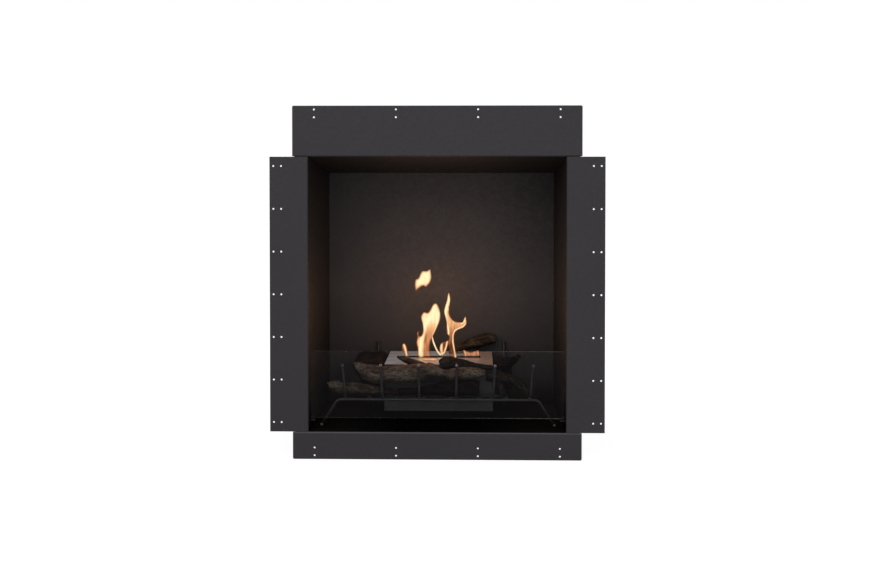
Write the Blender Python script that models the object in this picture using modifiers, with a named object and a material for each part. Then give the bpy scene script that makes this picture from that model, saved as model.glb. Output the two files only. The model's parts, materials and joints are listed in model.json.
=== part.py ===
"""Built-in ethanol firebox insert, modelled piece by piece in metres.

X runs to the right, Y goes into the firebox and Z is up. The origin lies under the middle of
the object, level with the lower edge of the bottom flange. Depths are counted from the front
face of the flanges.
"""

import math

import bmesh
import bpy
from mathutils import Matrix, Vector
from mathutils.bvhtree import BVHTree

# Fits between pieces
FIT_GAP = 0.0003
LOG_GAP = 0.0005
CUT_OVERRUN = 0.004
MERGE_DISTANCE = 0.00001

# Flanges and fire chamber, folded from one gauge of sheet
SHEET = 0.002
FOLD_RADIUS = 0.0025
OPENING_WIDTH = 0.536
OPENING_HEIGHT = 0.574
SIDE_FLANGE_WIDTH = 0.080
TOP_FLANGE_WIDTH = 0.601
TOP_FLANGE_HEIGHT = 0.105
BOTTOM_FLANGE_HEIGHT = 0.057
FLANGE_CORNER_RADIUS = 0.003
CHAMBER_DEPTH = 0.360
WALL_TAPER = 0.007
CEILING_DROP = 0.0356
BACK_PANEL_MARGIN = 0.008

# Screw holes in the flanges, in pairs
HOLE_DIAMETER = 0.004
HOLE_EDGE = 0.0078
HOLE_PAIR_PITCH = 0.0162
TOP_HOLE_INSET = 0.0452
TOP_HOLE_PAIRS = 4
SIDE_HOLE_INSET = 0.020
SIDE_HOLE_PAIRS = 7

# Outer casing, an air gap away from the fire chamber
CASING_SHEET = 0.0012
CASING_FOLD_RADIUS = 0.0015
CASING_FOLD = 0.014
CASING_FRONT_GAP = 0.0025
SIDE_AIR_GAP = 0.026
BACK_AIR_GAP = 0.020
TOP_AIR_GAP = 0.055
FLOOR_AIR_GAP = 0.020
VENT_WIDTH = 0.060
VENT_HEIGHT = 0.005
VENT_COLUMNS = 5
VENT_PITCH = 0.090
VENT_ROWS = 3
VENT_ROW_PITCH = 0.014
VENT_EDGE = 0.050

# Spacers between chamber and casing, and the rails under the casing
SPACER_SHEET = 0.0015
SPACER_FOOT = 0.014
SPACER_CROWN = 0.022
WALL_SPACER_LENGTH = 0.440
BACK_SPACER_LENGTH = 0.460
FLOOR_SPACER_LENGTH = 0.260
TOP_SPACER_LENGTH = 0.400
FLOOR_SPACER_INSET = 0.110
RAIL_SHEET = 0.002
RAIL_WIDTH = 0.030
RAIL_INSET = 0.050
RAIL_END_INSET = 0.012

# Casing screws
SCREW_HEAD_RADIUS = 0.0040
SCREW_HEAD_HEIGHT = 0.0022
SCREW_RADIUS = 0.0016
SCREW_HOLE_CLEARANCE = 0.0005
SCREW_LENGTH = 0.006
SCREW_END_INSET = 0.040

# Glass screen, its clips and pins
GLASS_THICKNESS = 0.005
GLASS_HEIGHT = 0.1415
GLASS_SIDE_CLEARANCE = 0.0012
GLASS_SETBACK = 0.0325
GLASS_LIFT = 0.0235
GLASS_EDGE_CHAMFER = 0.0005
CLIP_SHEET = 0.001
CLIP_LENGTH = 0.005
CLIP_LIP = 0.005
CLIP_CLEARANCE = 0.0004
CLIP_PIN_RADIUS = 0.0028
CLIP_PIN_LENGTH = 0.010
CLIP_PIN_CHAMFER = 0.0006

# Burner
BURNER_WIDTH = 0.235
BURNER_SETBACK = 0.125
BURNER_BACK_CLEARANCE = 0.015
BURNER_FLOOR_CLEARANCE = 0.0235
BURNER_HEIGHT = 0.101
BURNER_SHEET = 0.0015
TOP_PLATE_SHEET = 0.002
SLOT_LENGTH = 0.182
SLOT_WIDTH = 0.032
SLOT_BACK_MARGIN = 0.078
SLOT_CORNER_RADIUS = 0.003
WICK_HEIGHT = 0.074
WICK_CLEARANCE = 0.003
WICK_EDGE_RADIUS = 0.003

# Damper that slides under the top plate
DAMPER_SHEET = 0.0015
DAMPER_OVERLAP = 0.006
DAMPER_DEPTH = 0.053
DAMPER_PARKED_LAP = 0.008
DAMPER_TAB_WIDTH = 0.020
DAMPER_TAB_HEIGHT = 0.0055
DAMPER_TAB_X = 0.014
GUIDE_SHEET = 0.0015
GUIDE_LIP = 0.007
GUIDE_OVERRUN = 0.010
GUIDE_SIDE_CLEARANCE = 0.0006

# Stand under the burner
STAND_SHEET = 0.002
STAND_RECESS = 0.018
STAND_FOOT = 0.016
STAND_SIDE_INSET = 0.022

# Log grate, welded from round rod
ROD_RADIUS = 0.004
TINE_RADIUS = 0.0035
TINE_BALL_RADIUS = 0.0041
RAIL_SETBACK = 0.062
RAIL_RISE = 0.0585
RAIL_HALF_WIDTH = 0.213
RAIL_BEND_RADIUS = 0.020
LEG_SPREAD = 0.034
FOOT_BALL_RADIUS = 0.0048
REAR_RAIL_CLEARANCE = 0.0095
INNER_RAIL_CLEARANCE = 0.013
SIDE_BAR_CLEARANCE = 0.0285
TINE_COUNT = 6
TINE_END_INSET = 0.0175
TINE_HEIGHT = 0.0735
TINE_FAN_SHARE = 0.0365
TINE_LEAN = 0.006
POST_HEIGHT = 0.146
CROSS_BAR_COUNT = 4

# Logs, each a row of (x share of the rail's half width, depth share of the log's bed, height
# share and radius share of the log radius). The front bed reaches from the front rail to the
# burner, the rear bed to the rear rail.
LOG_RADIUS = 0.018
LOG_RING_POINTS = 12
LOG_RINGS_PER_POINT = 3
LOG_SAMPLE_SHARE = 0.1
LOG_DROP = 0.120
LOG_SHARES = {
    "log_lower_centre": [(-0.39, 0.38, -0.12, 0.42), (-0.20, 0.36, -0.06, 0.48),
                         (0.00, 0.38, 0.16, 0.76), (0.21, 0.36, 0.42, 1.04),
                         (0.405, 0.38, 0.38, 0.98)],
    "log_lower_left": [(-1.11, 0.24, 0.42, 0.36), (-1.06, 0.26, 0.40, 0.58),
                       (-0.94, 0.30, 0.16, 0.74), (-0.74, 0.36, -0.02, 0.70),
                       (-0.56, 0.42, -0.24, 0.56), (-0.41, 0.48, -0.42, 0.36)],
    "log_knotted": [(0.02, 0.73, -0.30, 0.60), (0.08, 0.73, -0.08, 0.82),
                    (0.18, 0.74, -0.06, 0.73), (0.34, 0.76, -0.32, 0.48),
                    (0.47, 0.78, -0.52, 0.32), (0.57, 0.80, -0.60, 0.20)],
    "log_split": [(-0.735, 0.284, 0.00, 2.00), (-0.733, 0.48, 0.02, 2.02),
                  (-0.737, 0.721, 0.04, 2.02), (-0.735, 0.917, 0.00, 1.98)],
    "log_back": [(0.10, 0.817, -0.10, 0.30), (0.22, 0.856, 0.40, 0.50),
                 (0.36, 0.908, 0.86, 0.78), (0.48, 0.952, 1.22, 0.86),
                 (0.57, 0.978, 1.32, 0.70)],
}
LOG_LIMB_SHARES = {
    "log_long": {
        "limb": [(-0.86, 0.44, 0.92, 0.48), (-0.80, 0.42, 0.68, 0.80),
                 (-0.70, 0.40, 0.20, 1.06), (-0.50, 0.38, -0.06, 1.16),
                 (-0.26, 0.40, 0.12, 1.24), (-0.09, 0.42, 0.24, 1.20),
                 (0.06, 0.44, -0.02, 0.76), (0.21, 0.40, 0.18, 0.76), (0.36, 0.36, 0.26, 0.72),
                 (0.47, 0.34, 0.30, 0.40)],
        "stub": [(-0.42, 1.22, 1.74, 0.16), (-0.37, 1.08, 1.54, 0.32),
                 (-0.28, 0.90, 1.30, 0.44), (-0.20, 0.70, 1.02, 0.50),
                 (-0.12, 0.52, 0.72, 0.44)],
    },
    "log_lower_right": {
        "limb": [(0.49, 0.72, 0.74, 0.56), (0.58, 0.72, 0.62, 0.72), (0.72, 0.68, 0.50, 0.62),
                 (0.84, 0.56, -0.26, 0.60), (0.91, 0.42, -1.00, 0.60),
                 (0.96, 0.36, -1.66, 0.50)],
        "stub": [(0.60, 0.72, 0.20, 0.46), (0.635, 0.70, -0.70, 0.40),
                 (0.655, 0.66, -1.50, 0.28)],
    },
    "log_forked": {
        "limb": [(0.60, 0.371, 0.60, 0.90), (0.68, 0.405, 0.44, 0.74),
                 (0.76, 0.46, 0.64, 0.54), (0.83, 0.546, 1.00, 0.24)],
        "stub": [(0.69, 0.426, 0.00, 0.60), (0.70, 0.432, -1.30, 0.56),
                 (0.71, 0.441, -2.70, 0.48)],
    },
}
LOG_SUPPORT_ORDER = ("log_lower_centre", "log_lower_left", "log_lower_right", "log_long",
                     "log_knotted", "log_forked", "log_split", "log_back")
REAR_BED_LOGS = ("log_forked", "log_split", "log_back")
LOG_LUMP_SHARES = ((2, 0.09, 0.4, 1.7), (3, 0.05, 1.9, -2.3), (5, 0.025, 0.7, 3.1))
SPLIT_SQUARE_SHARE = 0.12
SPLIT_LUMP_SHARE = 0.35
SPLIT_FACE_TURN = math.radians(214)
SPLIT_FACE_SHARE = 0.45
SPLIT_RING_TURN_SHARE = 0.5

# Roundness of turned and bent pieces, in facets
HOLE_FACETS = 12
ROD_BEVEL_RESOLUTION = 3
TURN_STEPS = 12
SCREW_STEPS = 10
BEND_STEPS = 3
ROD_BEND_STEPS = 6

# Levels and places worked out from the sizes above
OPENING_HALF = OPENING_WIDTH / 2
OPENING_TOP = BOTTOM_FLANGE_HEIGHT + OPENING_HEIGHT
OVERALL_HEIGHT = OPENING_TOP + TOP_FLANGE_HEIGHT
FLOOR_Z = BOTTOM_FLANGE_HEIGHT
TOTAL_DEPTH = CHAMBER_DEPTH + SHEET + BACK_AIR_GAP + CASING_SHEET
FRONT_Y = -(TOTAL_DEPTH + FIT_GAP + SCREW_HEAD_HEIGHT) / 2
BACK_HALF = OPENING_HALF - WALL_TAPER
CASING_HALF = OPENING_HALF + SHEET + SIDE_AIR_GAP + CASING_SHEET
CASING_BASE_TOP = FLOOR_Z - SHEET - FLOOR_AIR_GAP
CASING_TOP_UNDER = OPENING_TOP + SHEET + TOP_AIR_GAP
CASING_BACK_DEPTH = CHAMBER_DEPTH + SHEET + BACK_AIR_GAP
BURNER_BACK = CHAMBER_DEPTH - BURNER_BACK_CLEARANCE
BURNER_BOTTOM = FLOOR_Z + BURNER_FLOOR_CLEARANCE
BURNER_TOP = BURNER_BOTTOM + BURNER_HEIGHT
TOP_PLATE_UNDER = BURNER_TOP - TOP_PLATE_SHEET
SLOT_BACK = BURNER_BACK - SLOT_BACK_MARGIN
SLOT_FRONT = SLOT_BACK - SLOT_WIDTH
GLASS_BOTTOM = FLOOR_Z + GLASS_LIFT
GLASS_BACK = GLASS_SETBACK + GLASS_THICKNESS
RAIL_Z = FLOOR_Z + RAIL_RISE
REAR_RAIL_DEPTH = CHAMBER_DEPTH - REAR_RAIL_CLEARANCE
INNER_RAIL_DEPTH = BURNER_SETBACK - INNER_RAIL_CLEARANCE
SIDE_BAR_X = BURNER_WIDTH / 2 + SIDE_BAR_CLEARANCE
TINE_PITCH = 2 * (RAIL_HALF_WIDTH - TINE_END_INSET) / (TINE_COUNT - 1)
CROSS_BAR_PITCH = 2 * SIDE_BAR_X / (CROSS_BAR_COUNT + 1)
FRONT_BED_DEPTH = BURNER_SETBACK - RAIL_SETBACK
REAR_BED_DEPTH = REAR_RAIL_DEPTH - RAIL_SETBACK
LOG_START_Z = BURNER_TOP + LOG_DROP

# Colours of the materials: name, linear colour, roughness, metallic
FINISHES = {
    "powder_coat": ((0.042, 0.038, 0.042), 0.55, 0.0),
    "chamber_black": ((0.018, 0.016, 0.016), 0.60, 0.0),
    "casing_black": ((0.030, 0.029, 0.031), 0.50, 0.0),
    "zinc_steel": ((0.45, 0.46, 0.47), 0.40, 1.0),
    "clear_glass": ((0.55, 0.57, 0.58), 0.05, 0.0),
    "brushed_steel": ((0.56, 0.55, 0.54), 0.32, 1.0),
    "ceramic_wool": ((0.70, 0.68, 0.62), 0.95, 0.0),
    "grate_steel": ((0.030, 0.029, 0.030), 0.42, 0.6),
    "ceramic_log": ((0.115, 0.092, 0.072), 0.90, 0.0),
}


def clear_scene():
    """Remove every object, so that the script gives the same model each time it runs."""
    for obj in list(bpy.data.objects):
        bpy.data.objects.remove(obj, do_unlink=True)


def new_collection(name):
    """A fresh collection under the scene's own."""
    group = bpy.data.collections.new(name)
    bpy.context.scene.collection.children.link(group)
    return group


clear_scene()
MODEL = new_collection("firebox")
CUTTERS = new_collection("firebox_cutters")
MATERIALS = {}


def finish(kind):
    """The Principled material of one finish."""
    if kind not in MATERIALS:
        colour, roughness, metallic = FINISHES[kind]
        material = bpy.data.materials.new(kind)
        material.use_nodes = True
        shader = material.node_tree.nodes["Principled BSDF"]
        shader.inputs["Base Color"].default_value = (*colour, 1.0)
        shader.inputs["Roughness"].default_value = roughness
        shader.inputs["Metallic"].default_value = metallic
        MATERIALS[kind] = material
    return MATERIALS[kind]


def add_piece(name, mesh, kind):
    """Put a mesh in the model as one named piece with its own material."""
    obj = bpy.data.objects.new(name, mesh)
    mesh.name = name
    material = finish(kind).copy()
    material.name = name
    mesh.materials.clear()
    mesh.materials.append(material)
    MODEL.objects.link(obj)
    return obj


def add_cutter(name, mesh):
    """Put a mesh aside as a cutter, which never renders."""
    obj = bpy.data.objects.new(name, mesh)
    obj.hide_render = True
    obj.display_type = 'WIRE'
    CUTTERS.objects.link(obj)
    return obj


def cut(obj, cutter):
    """Take the cutter's volume out of a piece."""
    modifier = obj.modifiers.new("Cut", 'BOOLEAN')
    modifier.operation = 'DIFFERENCE'
    modifier.solver = 'EXACT'
    modifier.object = cutter
    return modifier


def join(obj, other):
    """Weld another mesh on to a piece."""
    modifier = obj.modifiers.new("Join", 'BOOLEAN')
    modifier.operation = 'UNION'
    modifier.solver = 'EXACT'
    modifier.object = other
    return modifier


def at_depth(depth):
    """The Y of a depth behind the front face of the flanges."""
    return FRONT_Y + depth


def wall_x(depth):
    """Half the chamber's inner width at a depth, because the walls close in to the back."""
    return OPENING_HALF - WALL_TAPER * depth / CHAMBER_DEPTH


def ceiling_z(depth):
    """Height of the sloping ceiling's lower face at a depth."""
    return OPENING_TOP - CEILING_DROP * depth / CHAMBER_DEPTH


def flat_mesh(name, build):
    """A mesh filled by a function that gets an empty bmesh."""
    mesh = bpy.data.meshes.new(name)
    work = bmesh.new()
    build(work)
    work.to_mesh(mesh)
    work.free()
    return mesh


def box_into(work, low, high):
    """Add a box between two corners to a bmesh and return its vertices."""
    low, high = Vector(low), Vector(high)
    matrix = Matrix.Translation((low + high) / 2) @ Matrix.Diagonal((*(high - low), 1.0))
    return bmesh.ops.create_cube(work, size=1.0, matrix=matrix)["verts"]


def rounded_path(points, radius, steps):
    """An open path with each inner corner turned into an arc of the given radius."""
    points = [Vector(point) for point in points]
    path = [points[0]]
    for before, corner, after in zip(points, points[1:], points[2:]):
        inward = (before - corner).normalized()
        outward = (after - corner).normalized()
        half_angle = inward.angle(outward) / 2
        reach = radius / math.tan(half_angle)
        centre = corner + (inward + outward).normalized() * (radius / math.sin(half_angle))
        start, end = corner + inward * reach, corner + outward * reach
        for step in range(steps + 1):
            blend = (start - centre).slerp((end - centre), step / steps)
            path.append(centre + blend.normalized() * radius)
    path.append(points[-1])
    return path


def folded_sheet(name, path, span, axis, thickness, radius, kind, corner_radius=0.0):
    """A sheet folded along a centre line and drawn out along one axis.

    The path's points hold the two other coordinates in X, Y, Z order. The corners at its
    first point can be rounded.
    """
    flat_points = [Vector((a, b, 0)) for a, b in path]
    if radius:
        flat_points = rounded_path(flat_points, radius, BEND_STEPS)

    def place(point, along):
        coords = [point.x, point.y]
        coords.insert(axis, along)
        return coords

    def build(work):
        rows = [[work.verts.new(place(point, along)) for point in flat_points] for along in span]
        for index in range(len(flat_points) - 1):
            work.faces.new((rows[0][index], rows[0][index + 1], rows[1][index + 1],
                            rows[1][index]))
        if corner_radius:
            bmesh.ops.bevel(work, geom=[rows[0][0], rows[1][0]], offset=corner_radius,
                            segments=BEND_STEPS, profile=0.5, affect='VERTICES')

    obj = add_piece(name, flat_mesh(name, build), kind)
    shell = obj.modifiers.new("Sheet", 'SOLIDIFY')
    shell.thickness = thickness
    shell.offset = 0.0
    shell.use_even_offset = True
    return obj


def round_cutters(name, places, radius, reach, axis):
    """One cutter of many round pins, each centred on its place along an axis."""
    turn = {0: Matrix.Rotation(math.pi / 2, 4, 'Y'), 1: Matrix.Rotation(math.pi / 2, 4, 'X'),
            2: Matrix.Identity(4)}[axis]

    def build(work):
        for place in places:
            bmesh.ops.create_cone(work, cap_ends=True, segments=HOLE_FACETS, radius1=radius,
                                  radius2=radius, depth=reach,
                                  matrix=Matrix.Translation(place) @ turn)

    return add_cutter(name, flat_mesh(name, build))


def mesh_of(obj):
    """The evaluated mesh of an object, with welded seams, as a mesh of its own."""
    bpy.context.view_layer.update()
    graph = bpy.context.evaluated_depsgraph_get()
    mesh = bpy.data.meshes.new_from_object(obj.evaluated_get(graph))
    work = bmesh.new()
    work.from_mesh(mesh)
    bmesh.ops.remove_doubles(work, verts=work.verts, dist=MERGE_DISTANCE)
    work.to_mesh(mesh)
    work.free()
    return mesh


def turned_mesh(name, profile, steps):
    """A mesh turned about Z from (radius, height) points that run down its outer side."""
    mesh = bpy.data.meshes.new(name)
    edges = [(index, index + 1) for index in range(len(profile) - 1)]
    mesh.from_pydata([(radius, 0, height) for radius, height in profile], edges, [])
    blank = bpy.data.objects.new(name, mesh)
    CUTTERS.objects.link(blank)
    screw = blank.modifiers.new("Turn", 'SCREW')
    screw.steps = steps
    screw.render_steps = steps
    screw.use_merge_vertices = True
    screw.merge_threshold = MERGE_DISTANCE
    turned = mesh_of(blank)
    bpy.data.objects.remove(blank, do_unlink=True)
    return turned


def placed_piece(name, mesh, matrix, kind):
    """One piece with a copy of a shared mesh, placed by a matrix."""
    obj = add_piece(name, mesh.copy(), kind)
    obj.matrix_world = matrix
    return obj


def axes_matrix(place, x_axis, y_axis, z_axis):
    """A placement from an origin and the directions that a mesh's own axes take."""
    turn = Matrix((x_axis, y_axis, z_axis)).transposed().to_4x4()
    return Matrix.Translation(place) @ turn


def smooth(obj, angle=math.radians(40)):
    """Shade a round piece smooth but keep its sharp edges."""
    obj.data.shade_smooth()
    obj.data.set_sharp_from_angle(angle=angle)
    return obj


def rod(name, points, radius, kind):
    """A round rod along a path of points."""
    curve = bpy.data.curves.new(name, 'CURVE')
    curve.dimensions = '3D'
    curve.bevel_depth = radius
    curve.bevel_resolution = ROD_BEVEL_RESOLUTION
    curve.use_fill_caps = True
    spline = curve.splines.new('POLY')
    spline.points.add(len(points) - 1)
    for target, point in zip(spline.points, points):
        target.co = (*point, 1.0)
    obj = bpy.data.objects.new(name, curve)
    material = finish(kind).copy()
    material.name = name
    curve.materials.append(material)
    MODEL.objects.link(obj)
    return obj


def hole_pair_row(along_start, along_end, pairs, outer, inner):
    """Places of hole pairs as (along, across) from one end of a flange to the other."""
    places = []
    for index in range(pairs):
        along = along_start + (along_end - along_start) * index / (pairs - 1)
        places.extend(((along, outer), (along, inner)))
    return places


def build_flanged_panels():
    """The four folded panels whose flanges face the room, and the back panel."""
    half = SHEET / 2
    wall_end = CHAMBER_DEPTH - FIT_GAP
    flange_outer = OPENING_HALF + SIDE_FLANGE_WIDTH
    panels = {}

    low, high = FLOOR_Z + FIT_GAP, OPENING_TOP - FIT_GAP
    above_ceiling = flat_mesh("above_ceiling", lambda work: box_into(
        work, (-flange_outer - CUT_OVERRUN, 0, 0),
        (flange_outer + CUT_OVERRUN, TOTAL_DEPTH * 2, CEILING_DROP + CUT_OVERRUN)))
    ceiling_cutter = add_cutter("above_ceiling", above_ceiling)
    ceiling_cutter.location = (0, FRONT_Y - CUT_OVERRUN, high)
    ceiling_cutter.rotation_euler = (-math.atan2(CEILING_DROP, CHAMBER_DEPTH), 0, 0)

    for side, label in ((-1, "left"), (1, "right")):
        path = [(side * flange_outer, at_depth(half)), (side * (OPENING_HALF + half), at_depth(half)),
                (side * (wall_x(wall_end) + half), at_depth(wall_end))]
        panel = folded_sheet("side_panel_" + label, path, (low, high), 2, SHEET, FOLD_RADIUS,
                             "powder_coat")
        outer = side * (flange_outer - HOLE_EDGE)
        inner = outer - side * HOLE_PAIR_PITCH
        rows = hole_pair_row(FLOOR_Z + SIDE_HOLE_INSET, OPENING_TOP - SIDE_HOLE_INSET,
                             SIDE_HOLE_PAIRS, outer, inner)
        places = [(across, at_depth(half), along) for along, across in rows]
        cut(panel, round_cutters("side_holes_" + label, places, HOLE_DIAMETER / 2,
                                 SHEET + 2 * CUT_OVERRUN, 1))
        cut(panel, ceiling_cutter)
        panels["side_panel_" + label] = panel

    flange_half = TOP_FLANGE_WIDTH / 2
    wall_outer = OPENING_HALF + SHEET
    ends = {
        "top_panel": [(at_depth(half), OVERALL_HEIGHT), (at_depth(half), OPENING_TOP + half),
                      (at_depth(wall_end), ceiling_z(wall_end) + half)],
        "bottom_panel": [(at_depth(half), 0.0), (at_depth(half), FLOOR_Z - half),
                         (at_depth(wall_end), FLOOR_Z - half)],
    }
    rows = {"top_panel": (OVERALL_HEIGHT - HOLE_EDGE, OVERALL_HEIGHT - HOLE_EDGE - HOLE_PAIR_PITCH),
            "bottom_panel": (HOLE_EDGE, HOLE_EDGE + HOLE_PAIR_PITCH)}
    notch_reach = TOTAL_DEPTH + CUT_OVERRUN
    for name, path in ends.items():
        panel = folded_sheet(name, path, (-flange_half, flange_half), 0, SHEET, FOLD_RADIUS,
                             "powder_coat", FLANGE_CORNER_RADIUS)
        places = [(along, at_depth(half), across) for along, across in hole_pair_row(
            TOP_HOLE_INSET - flange_half, flange_half - TOP_HOLE_INSET, TOP_HOLE_PAIRS,
            *rows[name])]
        cut(panel, round_cutters(name + "_holes", places, HOLE_DIAMETER / 2,
                                 SHEET + 2 * CUT_OVERRUN, 1))

        def notches(work, low_z=path[1][1]):
            for side in (-1, 1):
                xs = sorted((side * wall_outer, side * (flange_half + CUT_OVERRUN)))
                box_into(work, (xs[0], at_depth(SHEET + FIT_GAP), low_z - CEILING_DROP - SHEET),
                         (xs[1], at_depth(notch_reach), low_z + CEILING_DROP))

        cut(panel, add_cutter(name + "_notches", flat_mesh(name + "_notches", notches)))
        panels[name] = panel

    back_half = BACK_HALF + SHEET + BACK_PANEL_MARGIN
    back = flat_mesh("back_panel", lambda work: box_into(
        work, (-back_half, at_depth(CHAMBER_DEPTH), FLOOR_Z - SHEET - BACK_PANEL_MARGIN),
        (back_half, at_depth(CHAMBER_DEPTH + SHEET),
         ceiling_z(CHAMBER_DEPTH) + SHEET + BACK_PANEL_MARGIN)))
    panels["back_panel"] = add_piece("back_panel", back, "chamber_black")
    return panels


def screw_mesh():
    """Pan head screw with its head above the plane z = 0 and its shank below."""
    crown_share, shoulder_share = 0.62, 0.45
    profile = [(0.0, SCREW_HEAD_HEIGHT), (SCREW_HEAD_RADIUS * crown_share, SCREW_HEAD_HEIGHT),
               (SCREW_HEAD_RADIUS, SCREW_HEAD_HEIGHT * shoulder_share), (SCREW_HEAD_RADIUS, 0.0),
               (SCREW_RADIUS, 0.0), (SCREW_RADIUS, -SCREW_LENGTH), (0.0, -SCREW_LENGTH)]
    return turned_mesh("screw", profile, SCREW_STEPS)


def build_casing():
    """Outer casing in five sheets, with its vents, screws, spacers and base rails."""
    half = CASING_SHEET / 2
    front = SHEET + CASING_FRONT_GAP + half
    back = CASING_BACK_DEPTH - FIT_GAP - half
    side_low, side_high = CASING_BASE_TOP + FIT_GAP, CASING_TOP_UNDER - FIT_GAP
    casing = {}
    for side, label in ((-1, "left"), (1, "right")):
        wall = side * (CASING_HALF - half)
        fold = wall - side * CASING_FOLD
        path = [(fold, at_depth(front)), (wall, at_depth(front)), (wall, at_depth(back)),
                (fold, at_depth(back))]
        casing[label] = folded_sheet("casing_" + label, path, (side_low, side_high), 2,
                                     CASING_SHEET, CASING_FOLD_RADIUS, "casing_black")
    top_z = CASING_TOP_UNDER + half
    base_z = CASING_BASE_TOP - half
    rear = CASING_BACK_DEPTH + CASING_SHEET
    for name, level, fold in (("casing_top", top_z, top_z + CASING_FOLD),
                              ("casing_base", base_z, base_z - CASING_FOLD)):
        path = [(at_depth(front), fold), (at_depth(front), level), (at_depth(rear), level)]
        casing[name] = folded_sheet(name, path, (-CASING_HALF, CASING_HALF), 0, CASING_SHEET,
                                    CASING_FOLD_RADIUS, "casing_black")
    panel = flat_mesh("casing_back", lambda work: box_into(
        work, (-CASING_HALF, at_depth(CASING_BACK_DEPTH), side_low),
        (CASING_HALF, at_depth(rear), side_high)))
    casing["back"] = add_piece("casing_back", panel, "casing_black")

    def vents(work):
        for column in range(VENT_COLUMNS):
            x = (column - (VENT_COLUMNS - 1) / 2) * VENT_PITCH
            for row in range(VENT_ROWS):
                rise = VENT_EDGE + row * VENT_ROW_PITCH
                for z in (side_low + rise, side_high - rise):
                    box_into(work, (x - VENT_WIDTH / 2, at_depth(CASING_BACK_DEPTH - CUT_OVERRUN),
                                    z - VENT_HEIGHT / 2),
                             (x + VENT_WIDTH / 2, at_depth(rear + CUT_OVERRUN),
                              z + VENT_HEIGHT / 2))

    cut(casing["back"], add_cutter("vents", flat_mesh("vents", vents)))

    fold_middle = CASING_HALF - CASING_SHEET - CASING_FOLD / 2
    places = [Vector((side * fold_middle, at_depth(rear), z)) for side in (-1, 1)
              for z in (side_low + SCREW_END_INSET, side_high - SCREW_END_INSET)]
    reach = 2 * (CASING_SHEET + SCREW_LENGTH)
    bores = round_cutters("screw_holes", places, SCREW_RADIUS + SCREW_HOLE_CLEARANCE, reach, 1)
    for key in ("left", "right", "back"):
        cut(casing[key], bores)
    screw = screw_mesh()
    lay = Matrix.Rotation(-math.pi / 2, 4, 'X')
    for index, place in enumerate(places):
        head = Matrix.Translation(place + Vector((0, FIT_GAP, 0)))
        smooth(placed_piece("casing_screw_%d" % (index + 1), screw, head @ lay, "zinc_steel"))
    return casing


def hat_mesh(height, length):
    """A folded hat bracket, feet on z = 0 and crown at the given height, along Y."""
    half = SPACER_SHEET / 2
    web = SPACER_CROWN / 2
    foot = web + SPACER_FOOT
    path = [(-foot, half), (-web, half), (-web, height - half), (web, height - half), (web, half),
            (foot, half)]
    blank = folded_sheet("hat", path, (-length / 2, length / 2), 1, SPACER_SHEET, SPACER_SHEET,
                         "zinc_steel")
    mesh = mesh_of(blank)
    bpy.data.objects.remove(blank, do_unlink=True)
    return mesh


def build_spacers():
    """Hat strips that hold the chamber off the casing, and the rails under the casing."""
    right, inward, up = Vector((1, 0, 0)), Vector((0, 1, 0)), Vector((0, 0, 1))
    middle_z = (FLOOR_Z + OPENING_TOP) / 2
    middle = CHAMBER_DEPTH / 2
    reach = SPACER_CROWN / 2 + SPACER_FOOT
    casing_inner = CASING_HALF - CASING_SHEET
    gap = casing_inner - wall_x(middle - reach) - SHEET - 2 * FIT_GAP
    wall_hat = hat_mesh(gap, WALL_SPACER_LENGTH)
    for side, label in ((-1, "left"), (1, "right")):
        place = (side * (casing_inner - FIT_GAP), at_depth(middle), middle_z)
        matrix = axes_matrix(place, -side * inward, up, -side * right)
        placed_piece("wall_spacer_" + label, wall_hat, matrix, "zinc_steel")

    matrix = axes_matrix((0, at_depth(CASING_BACK_DEPTH - FIT_GAP), middle_z), right, up, -inward)
    placed_piece("back_spacer", hat_mesh(BACK_AIR_GAP - 2 * FIT_GAP, BACK_SPACER_LENGTH), matrix,
                 "zinc_steel")

    floor_hat = hat_mesh(FLOOR_AIR_GAP - 2 * FIT_GAP, FLOOR_SPACER_LENGTH)
    across = OPENING_HALF - FLOOR_SPACER_INSET
    for side, label in ((-1, "left"), (1, "right")):
        place = Matrix.Translation((side * across, at_depth(middle), CASING_BASE_TOP + FIT_GAP))
        placed_piece("floor_spacer_" + label, floor_hat, place, "zinc_steel")

    slope = math.atan2(CEILING_DROP, CHAMBER_DEPTH)
    highest = ceiling_z(middle - reach) + SHEET / math.cos(slope)
    top_hat = hat_mesh(CASING_TOP_UNDER - highest - 2 * FIT_GAP, TOP_SPACER_LENGTH)
    matrix = axes_matrix((0, at_depth(middle), CASING_TOP_UNDER - FIT_GAP), inward, right, -up)
    placed_piece("top_spacer", top_hat, matrix, "zinc_steel")

    half = RAIL_SHEET / 2
    rail_top = CASING_BASE_TOP - CASING_SHEET - FIT_GAP
    rail_span = (at_depth(RAIL_END_INSET + CASING_FOLD), at_depth(TOTAL_DEPTH - RAIL_END_INSET))
    for side, label in ((-1, "left"), (1, "right")):
        web = side * (CASING_HALF - RAIL_INSET)
        lip = web - side * RAIL_WIDTH
        path = [(lip, half), (web, half), (web, rail_top - half), (lip, rail_top - half)]
        folded_sheet("base_rail_" + label, path, rail_span, 1, RAIL_SHEET, RAIL_SHEET,
                     "casing_black")


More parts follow.
